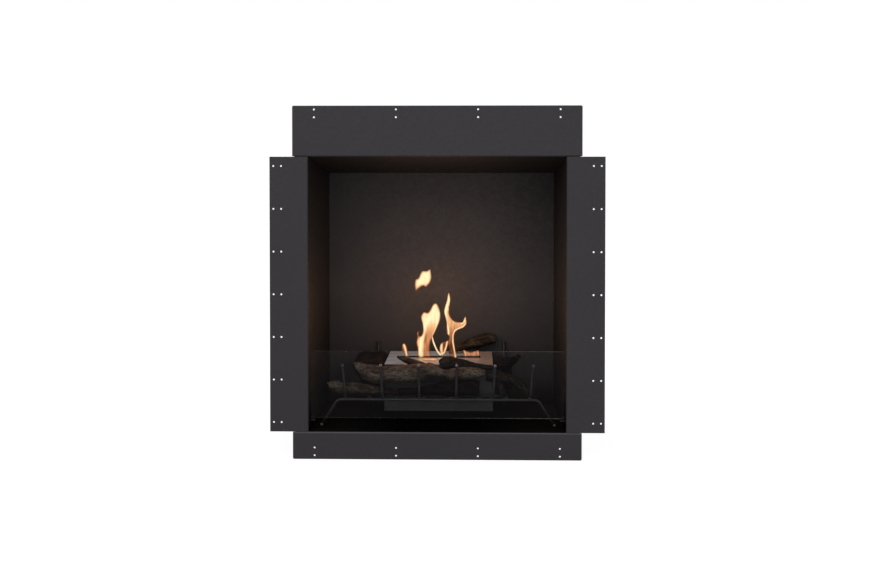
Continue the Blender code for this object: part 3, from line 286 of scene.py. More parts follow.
# Hot strands inside a flame, as (heat, [(x, z, half width) ...])
FLAME_STRANDS = {
    "flame_left": [
        (1.00, [(-0.0136, 0.2927, 0.0113), (-0.0183, 0.2748, 0.0160), (-0.0268, 0.2653, 0.0135),
                (-0.0348, 0.2521, 0.0079), (-0.0385, 0.2333, 0.0056), (-0.0423, 0.2163, 0.0060),
                (-0.0442, 0.1974, 0.0064), (-0.0427, 0.1805, 0.0056)]),
        (0.98, [(-0.0029, 0.2786, 0.0030), (-0.0058, 0.2579, 0.0030), (-0.0118, 0.2409, 0.0024),
                (-0.0177, 0.2272, 0.0021), (-0.0160, 0.2164, 0.0021)]),
        (0.62, [(-0.0188, 0.2503, 0.0013), (-0.0169, 0.2372, 0.0013), (-0.0186, 0.2258, 0.0013),
                (-0.0213, 0.2127, 0.0015), (-0.0243, 0.1975, 0.0015)]),
        (0.80, [(-0.0389, 0.2804, 0.0041), (-0.0399, 0.2672, 0.0049), (-0.0380, 0.2521, 0.0045)]),
        (0.72, [(-0.0510, 0.2389, 0.0024), (-0.0518, 0.2295, 0.0030), (-0.0487, 0.2181, 0.0041),
                (-0.0465, 0.2050, 0.0049)]),
        (0.46, [(-0.0304, 0.2408, 0.0019), (-0.0310, 0.2220, 0.0017), (-0.0321, 0.2032, 0.0017)]),
    ],
    "flame_right": [
        (1.00, [(0.0178, 0.3238, 0.0026), (0.0197, 0.3107, 0.0041), (0.0159, 0.2975, 0.0049),
                (0.0126, 0.2844, 0.0045), (0.0126, 0.2730, 0.0030), (0.0148, 0.2618, 0.0024),
                (0.0171, 0.2504, 0.0023), (0.0194, 0.2383, 0.0019), (0.0179, 0.2260, 0.0019),
                (0.0141, 0.2174, 0.0019)]),
        (0.95, [(0.0193, 0.2900, 0.0023), (0.0215, 0.2778, 0.0021), (0.0276, 0.2674, 0.0021),
                (0.0389, 0.2611, 0.0021), (0.0493, 0.2570, 0.0026), (0.0554, 0.2627, 0.0030),
                (0.0565, 0.2713, 0.0019)]),
        (0.92, [(0.0580, 0.2572, 0.0023), (0.0516, 0.2494, 0.0023), (0.0404, 0.2449, 0.0021),
                (0.0328, 0.2399, 0.0017), (0.0291, 0.2298, 0.0015), (0.0289, 0.2147, 0.0015),
                (0.0317, 0.1996, 0.0017), (0.0348, 0.1875, 0.0024), (0.0348, 0.1818, 0.0024)]),
        (0.90, [(0.0118, 0.2165, 0.0019), (0.0035, 0.2120, 0.0021), (0.0001, 0.2048, 0.0024),
                (-0.0006, 0.1938, 0.0023), (0.0028, 0.1860, 0.0028), (0.0096, 0.1912, 0.0021),
                (0.0141, 0.2052, 0.0015), (0.0167, 0.2203, 0.0013)]),
        (0.60, [(0.0287, 0.2637, 0.0030), (0.0362, 0.2543, 0.0041), (0.0456, 0.2506, 0.0030)]),
        (0.70, [(0.0130, 0.2466, 0.0023), (0.0130, 0.2364, 0.0019)]),
        (0.76, [(0.0034, 0.2096, 0.0030), (0.0030, 0.1968, 0.0032), (0.0050, 0.1880, 0.0026)]),
    ],
    "flame_small_left": [
        (0.82, [(-0.0829, 0.2096, 0.0030), (-0.0800, 0.2049, 0.0032), (-0.0777, 0.1954, 0.0024),
                (-0.0751, 0.1851, 0.0021)]),
    ],
    "flame_small_right": [
        (0.88, [(0.0522, 0.1966, 0.0026), (0.0550, 0.1897, 0.0026), (0.0566, 0.1835, 0.0019)]),
        (0.62, [(0.0522, 0.1970, 0.0019), (0.0641, 0.1933, 0.0017), (0.0776, 0.1937, 0.0017),
                (0.0855, 0.1971, 0.0019), (0.0862, 0.1870, 0.0017)]),
    ],
    "flame_low": [(0.62, [(-0.0400, 0.1868, 0.0024), (-0.0220, 0.1868, 0.0026),
                          (-0.0080, 0.1868, 0.0026)])],
}

# The flames' mesh: rows, their stagger and the room kept free inside the rim, as shares of
# the distance between points
FLAME_RIM_PITCH = 0.55
FLAME_THREAD_PITCH = 0.4
FLAME_ROW_PITCH = 0.86
FLAME_ROW_STARTS = (0.75, 0.25)
FLAME_RIM_ROOM = 0.5

# How the flames round off, sway and curl, how their heat spreads and what shows through
FLAME_ROUNDING = 0.7
FLAME_SWAY_WAVES = 46.0
FLAME_CURL_WIDTH = 0.0056
FLAME_CURL_LENGTH = 0.026
STRAND_SPREAD = 1.15
BODY_CURL = 0.16
STRAND_CURL = 0.08
RIM_COOLING = 0.58
ROOT_COVER = 0.45
LOW_FLAME_COVER = 0.9

# Bark: the fewest rings and points, where cracks, thin limbs and broken ends start, and how
# soft the edge of the painted underside shade is
FEWEST_RINGS = 12
FEWEST_AROUND = 20
CRACK_BAND = 0.11
THIN_LIMB_RADIUS = 0.009
TWIG_END_RADIUS = 0.006
SPLINTER_RADIUS = 0.003
JAG_WIDTH = 0.0042
SLANT_REACH = 2.2
UNDERSIDE_SHADE_EDGE = 0.40

# Knots as (place from the middle, width) in radii of the knot
KNOT_REACH = 2.5
KNOT_RIM = (0.9, 0.42)
KNOT_HEART = (0.0, 0.45)
KNOT_HEART_DEPTH = 0.7
KNOT_CRACK = (0.0, 0.5)
KNOT_RING = (1.6, 0.25)

# Cut ends: the step between their rings, their roughness and how far they bulge
END_RING_STEP = 0.0022
END_ROUGH_WIDTH = 0.003
END_ROUGH_HEIGHT = 0.0005
END_CRACK_BAND = 0.08
LOG_END_BULGE = 0.10
TWIG_END_BULGE = 0.45

# Painted shade that darkens the paint behind the flanges, and where that paint turns dull near
# the floor, as ranges of x or height
PAINTED_SHADE_ASIDE = (0.09, 0.25)
PAINTED_SHADE_CORNER_HEIGHTS = (0.33, 0.60)
PAINTED_SHADE_LOW_HEIGHTS = (0.058, 0.320)
PAINTED_SHADE_RIGHT_X = (0.07, 0.13)
PAINTED_SHADE_RIGHT_HEIGHTS = (0.20, 0.09)
PAINTED_SHADE_TOP_HEIGHTS = (0.51, 0.62)
PAINTED_SHADE_SILL_ASIDE = (0.08, 0.18)
SOOT_DULL_HEIGHTS = (0.058, 0.120)

# How much light the painted shade takes or leaves there
PAINTED_SHADE_CORNER_TAKES = 0.62
PAINTED_SHADE_RIGHT_TAKES = 0.8
PAINTED_SHADE_LOW_LEAVES = 0.12
PAINTED_SHADE_SILL_LEAVES = 0.50
PAINTED_SHADE_SILL_MIDDLE_LEAVES = 0.35
PAINTED_SHADE_TOP_LEAVES = 0.70

# Powder coat: its sheen, the line where the flange's coat ends and the painted highlight on the
# sill's bent edge
COAT_SHEEN = 0.16
PAINT_LINE_DEPTH = 0.0035
PAINT_LINE_BLUR = 0.0006
SILL_HIGHLIGHT_DROPS = (0.0030, 0.0018)
SILL_HIGHLIGHT_DEPTHS = (0.0030, 0.0016)
SILL_HIGHLIGHT_GAIN = 3.4

# The glass: how its mirror grows towards grazing views, and frost along its lower edge from
# the middle to each side as (from x, to x, from share, to share)
GRAZING_POWER = 5.0
GRAZING_SHARE = 0.6
FROST_RIGHT = (0.0, 0.23, 0.10, 0.80)
FROST_LEFT = (-0.13, -0.23, 0.0, 0.08)

# Where a face counts as turned to an axis, as the range of its normal there
FACE_TURN = (0.45, 0.75)
EDGE_TURN = (0.35, 0.75)

# Burner plate: heat tint and painted warm light of the flames towards its right side
HEAT_TINT_AND_FLAME_LIGHT_X = (0.00, 0.10)
HEAT_TINT_AND_FLAME_LIGHT_TINT = (0.86, 0.55, 0.40)
SMEAR_TINT = (0.95, 0.84, 0.72)
CUT_EDGE_SHARE = 0.05

# Lamps as (name, x, depth, z, length, height), aimed at one point as (x, depth, z)
LAMPS = (("key", -0.9, -2.6, 1.9, 2.2, 1.4), ("fill", 0.5, -3.2, 0.6, 2.6, 1.2),
         ("back", 1.2, 3.0, 2.1, 2.2, 1.6))
LAMP_TARGET = (0.0, 0.05, 0.36)
FLOOR_DROP = 0.0002
SHADOW_RADII = (0.5, 1.7)
WHITE = (1.0, 1.0, 1.0)


def colour_prop(name, description, default):
    """A linear colour that the user can change."""
    return FloatVectorProperty(name=name, description=description, subtype='COLOR', size=3,
                               min=0.0, max=1.0, default=default)


def length_prop(name, description, default, lowest=0.0):
    """A length in metres that the user can change."""
    return FloatProperty(name=name, description=description, unit='LENGTH', min=lowest,
                         precision=5, default=default)


def power_prop(name, description, default):
    """A lamp's power that the user can change."""
    return FloatProperty(name=name, description=description, unit='POWER', min=0.0,
                         default=default)


def share_prop(name, description, default):
    """A share from nothing to all that the user can change."""
    return FloatProperty(name=name, description=description, subtype='FACTOR', min=0.0, max=1.0,
                         default=default)


class FireboxColours(bpy.types.PropertyGroup):
    """Colours of the finishes, in linear light"""

    flange: colour_prop("Flanges", "Charcoal powder coat of the flanges", (0.0270, 0.0245, 0.0278))
    chamber: colour_prop("Chamber", "Heat-proof black inside the chamber", (0.017, 0.0155, 0.015))
    back: colour_prop("Back panel", "Heat-proof black of the back panel", (0.026, 0.0222, 0.0236))
    tank: colour_prop("Burner tank", "Black paint of the burner tank", (0.012, 0.0115, 0.012))
    casing: colour_prop("Casing", "Black powder coat of the casing", (0.022, 0.021, 0.023))
    zinc: colour_prop("Zinc", "Zinc-plated spacers and screws", (0.50, 0.51, 0.53))
    stainless: colour_prop("Stainless", "Brushed burner plate", (0.92, 0.86, 0.88))
    pin: colour_prop("Pins", "Dark steel of the clip pins", (0.012, 0.0115, 0.0115))
    # The tine balls are lighter than the enamel: wear and a painted highlight of light from above
    ball: colour_prop("Tine balls", "Worn enamel of the tines' balls", (0.080, 0.074, 0.076))
    enamel: colour_prop("Enamel", "Black stove enamel of the grate", (0.0110, 0.0104, 0.0110))
    # The glass veil is a faint glow on the glass's faces: a painted sheen in place of a reflection
    glass: colour_prop("Glass veil", "Faint grey that the glass adds", (0.0022, 0.0020, 0.0022))
    glass_rim: colour_prop("Glass rim", "Ground edges of the glass", (0.12, 0.11, 0.105))
    wool: colour_prop("Wool", "Ceramic wool inside the burner", (0.68, 0.64, 0.58))
    # The crack colour also serves as painted shade on the logs' undersides
    bark_cracks_and_shade: colour_prop("Bark cracks", "Deep cracks of the logs", (0.0036, 0.0027, 0.0019))
    bark_mid: colour_prop("Bark", "Weathered surface of the logs", (0.0220, 0.0160, 0.0112))
    bark_warm: colour_prop("Bark patches", "Warm brown patches of the logs", (0.044, 0.027, 0.017))
    bark_light: colour_prop("Bark ridges", "Dry ridges of the logs", (0.100, 0.080, 0.060))
    wood_dark: colour_prop("Cut wood rings", "Dark rings of the cut ends", (0.014, 0.009, 0.007))
    wood_light: colour_prop("Cut wood", "Pale wood of the cut ends", (0.052, 0.036, 0.026))
    flame_core: colour_prop("Flame core", "Hottest part of the flames", (1.0, 0.96, 0.56))
    flame_peach: colour_prop("Flame peach", "Hot part of the flames", (1.0, 0.56, 0.26))
    flame_body: colour_prop("Flame body", "Orange part of the flames", (0.58, 0.21, 0.085))
    flame_smoke: colour_prop("Flame smoke", "Dim brown part of the flames", (0.12, 0.036, 0.014))
    glow: colour_prop("Glow", "Light that the flames throw", (1.0, 0.44, 0.17))
    floor: colour_prop("Floor", "Plain pale floor", (0.86, 0.86, 0.86))


class FireboxSizes(bpy.types.PropertyGroup):
    """Sizes of the dressing"""

    ring_step: length_prop("Ring step", "Distance between the rings of a log", 0.0013)
    around_step: length_prop("Step round", "Distance between points round a log", 0.0015)
    streak_length: length_prop("Streak length", "Length of the bark's streaks", 0.011)
    streak_width: length_prop("Streak width", "Width of the bark's streaks", 0.0034)
    streak_relief: length_prop("Streak relief", "Height of the bark's streaks", 0.0007)
    lump_length: length_prop("Lump length", "Length of the bark's lumps", 0.022)
    lump_width: length_prop("Lump width", "Width of the bark's lumps", 0.011)
    lump_relief: length_prop("Lump relief", "Height of the bark's lumps", 0.0015)
    crack_length: length_prop("Crack length", "Length of the bark's cracks", 0.024)
    crack_width: length_prop("Crack width", "Distance between the bark's cracks", 0.0085)
    crack_depth: length_prop("Crack depth", "Depth of the bark's cracks", 0.0013)
    splinter_length: length_prop("Splinters", "Length of the splinters at broken ends", 0.0032)
    rod_sides: IntProperty(name="Rod sides", description="Facets round a rod", min=8, default=28)
    bead_radius: length_prop("Weld bead", "Radius of a weld bead's own section", 0.0011)
    bead_lumps: length_prop("Bead lumps", "Unevenness of a weld bead", 0.0003)
    rod_chamfer: length_prop("Rod chamfer", "Chamfer at a rod's cut ends", 0.0005)
    recess_width: length_prop("Recess width", "Width of a screw's cross recess", 0.0009)
    recess_length: length_prop("Recess length", "Length of a screw's cross recess", 0.0044)
    recess_depth: length_prop("Recess depth", "Depth of a screw's cross recess", 0.0012)
    notch_width: length_prop("Notch width", "Width of the casing's notches", 0.012)
    notch_height: length_prop("Notch height", "Height of the casing's notches", 0.0075)
    flame_pitch: length_prop("Flame mesh", "Distance between a flame's inner points", 0.0017)
    flame_thickness: length_prop("Flame thickness", "Half the thickness of a flame", 0.0048)
    flame_depth: length_prop("Flame depth", "Depth of the flames behind the flanges", 0.2510)
    flame_sway: length_prop("Flame sway", "How far the flames bend forward and back", 0.0035)


class FireboxStage(bpy.types.PropertyGroup):
    """Camera, lamps and floor"""

    focal_length: FloatProperty(name="Focal length", description="Camera focal length",
                                unit='CAMERA', default=58.24)
    camera_shift: FloatProperty(name="Shift", description="Vertical shift of the picture",
                                default=-0.0963)
    camera_side: length_prop("Camera side", "Camera's place to the right", 0.0836)
    camera_distance: length_prop("Camera distance", "Camera's distance from the flanges", 2.9157)
    camera_height: length_prop("Camera height", "Camera's height", 0.6070)
    camera_pitch: FloatProperty(name="Pitch", description="Camera's angle below the horizon",
                                subtype='ANGLE', default=math.radians(1.512))
    camera_turn: FloatProperty(name="Turn", description="Camera's turn to the left",
                               subtype='ANGLE', default=math.radians(1.700))
    key_power: power_prop("Key", "Power of the large lamp", 36.0)
    fill_power: power_prop("Fill", "Power of the second lamp", 28.0)
    back_power: power_prop("Back", "Power of the lamp behind", 25.0)
    glow_power: power_prop("Glow", "Power of the flames' light", 1.1)
    glow_side: length_prop("Glow side", "The flames' light to the right", -0.015, -1.0)
    glow_depth: length_prop("Glow depth", "The flames' light behind the flanges", 0.16)
    glow_height: length_prop("Glow height", "Height of the flames' light", 0.30)
    glow_radius: length_prop("Glow size", "Radius of the flames' light", 0.045)
    sky: FloatProperty(name="Sky", description="Strength of the even light all round",
                       default=0.24)
    floor_radius: length_prop("Floor radius", "Radius of the floor", 14.0)
    floor_shade: share_prop("Floor shade", "How much of a shadow the floor keeps", 0.08)


def depth_y(depth):
    """The Y of a depth behind the front face of the flanges."""
    return FRONT_Y + depth


def scaled(colour, share):
    """A colour with each channel scaled."""
    return [channel * share for channel in colour]


class Graph:
    """A node tree under construction, with short calls for its nodes."""

    def __init__(self, tree):
        self.tree = tree

    def add(self, kind, sockets=None, **settings):
        """Add a node, with its settings and its sockets' values or links."""
        node = self.tree.nodes.new(kind)
        for name, value in settings.items():
            setattr(node, name, value)
        for name, value in (sockets or {}).items():
            self.feed(node, name, value)
        return node

    def feed(self, node, socket, value):
        """Set a socket to a value, or link it to another node's output."""
        if isinstance(value, bpy.types.NodeSocket):
            self.tree.links.new(value, node.inputs[socket])
        else:
            node.inputs[socket].default_value = value

    def remap(self, value, low, high, to_low=0.0, to_high=1.0):
        """A value moved from one range to another and kept inside it."""
        return self.add("ShaderNodeMapRange", {
            "Value": value, "From Min": low, "From Max": high, "To Min": to_low,
            "To Max": to_high}).outputs["Result"]

    def maths(self, operation, first, second=0.0):
        """One sum on two values."""
        return self.add("ShaderNodeMath", {0: first, 1: second},
                        operation=operation).outputs["Value"]

    def times(self, first, second):
        """One value times another."""
        return self.maths('MULTIPLY', first, second)

    def plus(self, first, second):
        """Two values together."""
        return self.maths('ADD', first, second)

    def larger(self, first, second):
        """The larger of two values."""
        return self.maths('MAXIMUM', first, second)

    def rest(self, share):
        """What a share leaves of the whole."""
        return self.maths('SUBTRACT', 1.0, share)

    def background_share(self):
        """1 for rays from the camera, a mirror or glass, which see the plain white."""
        seen = self.add("ShaderNodeLightPath").outputs
        both = self.larger(seen["Is Camera Ray"], seen["Is Glossy Ray"])
        return self.larger(both, seen["Is Transmission Ray"])


class Finish(Graph):
    """One finish under construction, as a material."""

    def __init__(self, name):
        self.material = bpy.data.materials.new(name)
        self.material.use_nodes = True
        super().__init__(self.material.node_tree)
        self.shader = self.tree.nodes["Principled BSDF"]
        sources = self.add("ShaderNodeTexCoord").outputs
        self.place, self.normal = sources["Object"], sources["Normal"]

    def surface(self, **values):
        """Set or link the main shader's sockets, named with underscores for spaces."""
        for name, value in values.items():
            if isinstance(value, (tuple, list)) or hasattr(value, "r"):
                value = (*value[:3], 1.0)
            self.feed(self.shader, name.replace("_", " "), value)

    def show(self, surface):
        """Show another surface than the main shader."""
        self.feed(self.tree.nodes["Material Output"], "Surface", surface)

    def glowing(self, colour, strength):
        """A surface that gives light."""
        return self.add("ShaderNodeEmission", {"Color": (*colour, 1.0),
                                               "Strength": strength}).outputs["Emission"]

    def stacked(self, first, second):
        """Two surfaces added to each other."""
        return self.add("ShaderNodeAddShader", {0: first, 1: second}).outputs["Shader"]

    def blended(self, share, first, second):
        """Two surfaces blended by a share."""
        return self.add("ShaderNodeMixShader", {0: share, 1: first,
                                                2: second}).outputs["Shader"]

    def axes(self, vector=None):
        """The X, Y and Z of a vector, or of the place on the object."""
        return self.add("ShaderNodeSeparateXYZ", {"Vector": vector or self.place}).outputs

    def length(self, vector):
        """How long a vector is."""
        return self.add("ShaderNodeVectorMath", {0: vector},
                        operation='LENGTH').outputs["Value"]

    def stretched(self, scale, source=None):
        """Coordinates scaled unevenly, so that a texture gets a grain."""
        return self.add("ShaderNodeMapping", {"Vector": source or self.place, "Scale": scale},
                        vector_type='POINT').outputs["Vector"]

    def noise(self, scale, detail=2.0, roughness=0.5, vector=None, distortion=0.0):
        """Soft noise from 0 to 1."""
        return self.add("ShaderNodeTexNoise", {
            "Vector": vector or self.place, "Scale": scale, "Detail": detail,
            "Roughness": roughness, "Distortion": distortion}).outputs["Fac"]

    def grained(self, scale, detail, roughness, source=None, distortion=0.0):
        """Soft noise with its own scale along each axis."""
        return self.noise(1.0, detail, roughness, self.stretched(scale, source), distortion)

    def cells(self, scale):
        """A random value for each cell of a broken-up surface."""
        output = self.add("ShaderNodeTexVoronoi", {"Vector": self.place,
                                                   "Scale": scale}).outputs["Color"]
        return self.add("ShaderNodeSeparateColor", {"Color": output}).outputs["Red"]

    def attribute(self, name, output="Fac"):
        """A value that the mesh carries."""
        return self.add("ShaderNodeAttribute", attribute_name=name).outputs[output]

    def mix(self, share, first, second, blend='MIX'):
        """Two colours blended by a share."""
        node = self.add("ShaderNodeMix", data_type='RGBA', blend_type=blend)
        for socket, value in zip((0, 6, 7), (share, first, second)):
            if not isinstance(value, bpy.types.NodeSocket) and socket:
                value = (*value[:3], 1.0)
            self.feed(node, socket, value)
        return node.outputs[2]

    def dyed(self, first, second):
        """One colour times another."""
        return self.mix(1.0, first, second, 'MULTIPLY')

    def tinted(self, colour, value, low, high):
        """A colour made darker and lighter by a value from 0 to 1."""
        light = [min(1.0, channel) for channel in scaled(colour, high)]
        return self.mix(value, scaled(colour, low), light)

    def bump(self, height, distance, strength=1.0, normal=None):
        """Fine relief from a height."""
        sockets = {"Height": height, "Distance": distance, "Strength": strength}
        if normal:
            sockets["Normal"] = normal
        return self.add("ShaderNodeBump", sockets).outputs["Normal"]


def painted_chamber_shade(finish, place, sill):
    """Light left by the painted shade: least in the upper corners, low down and at the right."""
    aside = finish.maths('ABSOLUTE', place["X"])
    corner = finish.times(
        finish.remap(aside, *PAINTED_SHADE_ASIDE),
        finish.remap(place["Z"], *PAINTED_SHADE_CORNER_HEIGHTS, 0.0, PAINTED_SHADE_CORNER_TAKES))
    low = finish.remap(place["Z"], *PAINTED_SHADE_LOW_HEIGHTS,
                       PAINTED_SHADE_SILL_LEAVES if sill else PAINTED_SHADE_LOW_LEAVES, 1.0)
    light = finish.times(finish.rest(corner), low)
    if sill:
        return finish.times(light, finish.remap(aside, *PAINTED_SHADE_SILL_ASIDE,
                                                PAINTED_SHADE_SILL_MIDDLE_LEAVES, 1.0))
    right = finish.times(finish.remap(place["X"], *PAINTED_SHADE_RIGHT_X),
                         finish.remap(place["Z"], *PAINTED_SHADE_RIGHT_HEIGHTS, 0.0, PAINTED_SHADE_RIGHT_TAKES))
    light = finish.times(light, finish.rest(right))
    return finish.times(light, finish.remap(place["Z"], *PAINTED_SHADE_TOP_HEIGHTS, 1.0,
                                            PAINTED_SHADE_TOP_LEAVES))


def powder_coat(name, colour, inside=None, sill=False):
    """Textured powder coat; darker paint and painted shade behind the flange; a painted sill
    highlight if asked.
    """
    finish = Finish(name)
    place = finish.axes()
    base = finish.tinted(colour, finish.noise(7.0, 4.0, 0.55), 0.90, 1.10)
    sheen = COAT_SHEEN
    if inside is not None:
        edge = depth_y(PAINT_LINE_DEPTH)
        behind = finish.remap(place["Y"], edge - PAINT_LINE_BLUR, edge + PAINT_LINE_BLUR)
        # Painted shade: the inside paint darkens in the upper corners, low down and on the floor
        dark = finish.dyed(finish.tinted(inside, finish.noise(16.0, 5.0, 0.6), 0.82, 1.15),
                           painted_chamber_shade(finish, place, sill))
        base = finish.mix(behind, base, dark)
        dull = finish.times(behind, finish.remap(place["Z"], *SOOT_DULL_HEIGHTS, 1.0, 0.0))
        sheen = finish.times(finish.rest(dull), COAT_SHEEN)
    if sill:
        # Painted highlight: a thin bright line along the sill's bent edge, where light from above
        # catches it
        heights = [SILL_HEIGHT - drop for drop in SILL_HIGHLIGHT_DROPS]
        depths = [depth_y(depth) for depth in SILL_HIGHLIGHT_DEPTHS]
        sill_highlight = finish.times(finish.remap(place["Z"], *heights),
                            finish.remap(place["Y"], *depths))
        base = finish.mix(sill_highlight, base, scaled(colour, SILL_HIGHLIGHT_GAIN))
    speck = finish.remap(finish.noise(900.0, 1.0), 0.66, 0.74, 0.0, 0.35)
    base = finish.mix(speck, base, finish.dyed(base, (1.8, 1.8, 1.8)))
    finish.surface(Base_Color=base, Specular_IOR_Level=sheen,
                   Roughness=finish.remap(finish.noise(140.0, 2.0), 0.3, 0.7, 0.50, 0.62),
                   Normal=finish.bump(finish.noise(1500.0, 3.0, 0.6), 0.00012, 0.55))
    return finish.material


def zinc_plate(name, colour):
    """Dull zinc with a broken-up sheen."""
    finish = Finish(name)
    flakes = finish.cells(170.0)
    base = finish.mix(0.5, finish.tinted(colour, flakes, 0.82, 1.08),
                      finish.tinted(colour, finish.noise(24.0, 4.0), 0.78, 1.05))
    finish.surface(Base_Color=base, Metallic=1.0,
                   Roughness=finish.remap(flakes, 0.0, 1.0, 0.34, 0.52),
                   Normal=finish.bump(finish.noise(700.0, 2.0), 0.00006, 0.5))
    return finish.material


def brushed_steel(name, colour):
    """Stainless brushed along X, with heat tint and painted flame light to the right, and dark cut
    edges.
    """
    finish = Finish(name)
    lines = finish.grained((9.0, 1600.0, 1600.0), 4.0, 0.65)
    broad = finish.grained((5.0, 160.0, 160.0), 3.0, 0.6)
    smear = finish.noise(13.0, 4.0, 0.6)
    base = finish.mix(0.45, finish.tinted(colour, lines, 0.90, 1.05),
                      finish.tinted(colour, broad, 0.92, 1.04))
    base = finish.mix(finish.remap(smear, 0.45, 0.75, 0.0, 0.30), base,
                      [channel * tint for channel, tint in zip(colour, SMEAR_TINT)])
    # Heat tint and painted warm light of the flames, growing towards the right
    base = finish.mix(finish.remap(finish.axes()["X"], *HEAT_TINT_AND_FLAME_LIGHT_X), base,
                      finish.dyed(base, HEAT_TINT_AND_FLAME_LIGHT_TINT))
    level = finish.maths('ABSOLUTE', finish.axes(finish.normal)["Z"])
    base = finish.mix(finish.remap(level, *FACE_TURN, 1.0, 0.0), base,
                      scaled(colour, CUT_EDGE_SHARE))
    worn = finish.times(finish.plus(lines, smear), 0.5)
    finish.surface(Base_Color=base, Roughness=finish.remap(worn, 0.2, 0.8, 0.20, 0.34),
                   Anisotropic=0.35, Normal=finish.bump(lines, 0.00003, 0.6))
    return finish.material


def stove_enamel(name, colour, gloss):
    """Black satin enamel with a slight orange peel."""
    finish = Finish(name)
    cloud = finish.noise(46.0, 4.0)
    finish.surface(Base_Color=finish.tinted(colour, cloud, 0.75, 1.30),
                   Roughness=finish.remap(cloud, 0.3, 0.7, 0.30, 0.44),
                   Specular_IOR_Level=gloss,
                   Normal=finish.bump(finish.noise(620.0, 2.0), 0.00010, 0.5))
    return finish.material


def clear_glass(name, veil, rim):
    """Clear glass whose faces glow faintly as a painted sheen, with a frosted lower edge."""
    finish = Finish(name)
    facing = finish.axes(finish.normal)
    level, upright = (finish.remap(finish.maths('ABSOLUTE', facing[axis]), *EDGE_TURN)
                      for axis in ("Z", "X"))
    smudge = finish.noise(18.0, 4.0, 0.6)
    turned = finish.add("ShaderNodeLayerWeight", {"Blend": 0.5}).outputs["Facing"]
    grazing = finish.times(finish.maths('POWER', turned, GRAZING_POWER), GRAZING_SHARE)
    clear = finish.add("ShaderNodeBsdfTransparent", {"Color": (0.985, 0.985, 0.985, 1.0)})
    # Painted sheen: the faces glow faintly and a little unevenly, in place of a reflection
    painted_sheen_film = finish.stacked(clear.outputs["BSDF"],
                          finish.glowing(veil, finish.remap(smudge, 0.2, 0.8, 0.85, 1.15)))
    mirror = finish.add("ShaderNodeBsdfAnisotropic", {"Color": (*WHITE, 1.0),
                                                      "Roughness": 0.03}).outputs["BSDF"]
    flat = finish.rest(finish.larger(level, upright))
    face = finish.blended(finish.times(flat, grazing), painted_sheen_film, mirror)
    finish.surface(Base_Color=finish.tinted(rim, smudge, 0.9, 1.1), Roughness=0.5,
                   Specular_IOR_Level=0.2)
    across = finish.axes()["X"]
    frost = finish.plus(finish.remap(across, *FROST_RIGHT), finish.remap(across, *FROST_LEFT))
    finish.show(finish.blended(finish.times(level, frost), face,
                               finish.shader.outputs["BSDF"]))
    return finish.material


def wool_felt(name, colour):
    """Soft mineral wool with short tangled fibres and a scorched middle."""
    finish = Finish(name)
    fibre = finish.grained((500.0, 900.0, 700.0), 6.0, 0.7, distortion=1.6)
    tuft = finish.noise(90.0, 4.0, 0.6)
    base = finish.mix(0.5, finish.tinted(colour, fibre, 0.62, 1.15),
                      finish.tinted(colour, tuft, 0.70, 1.10))
    scorch = finish.remap(finish.noise(11.0, 3.0), 0.45, 0.70, 0.0, 0.6)
    base = finish.mix(scorch, base, scaled(colour, 0.32))
    finish.surface(Base_Color=base, Roughness=0.95, Sheen_Weight=0.25,
                   Normal=finish.bump(finish.plus(fibre, finish.times(tuft, 1.4)), 0.0012, 0.8))
    return finish.material


def cut_wood(finish, radius, colours):
    """Ringed wood of a log's cut end, by the distance from its middle."""
    ripple = finish.plus(finish.times(radius, 4200.0),
                         finish.times(finish.noise(120.0, 3.0), 5.0))
    ring = finish.remap(finish.maths('SINE', ripple), -1.0, 1.0)
    wood = finish.mix(ring, colours.wood_dark, colours.wood_light)
    return finish.mix(finish.remap(finish.noise(260.0, 4.0), 0.35, 0.75), wood,
                      scaled(colours.wood_light, 0.6))


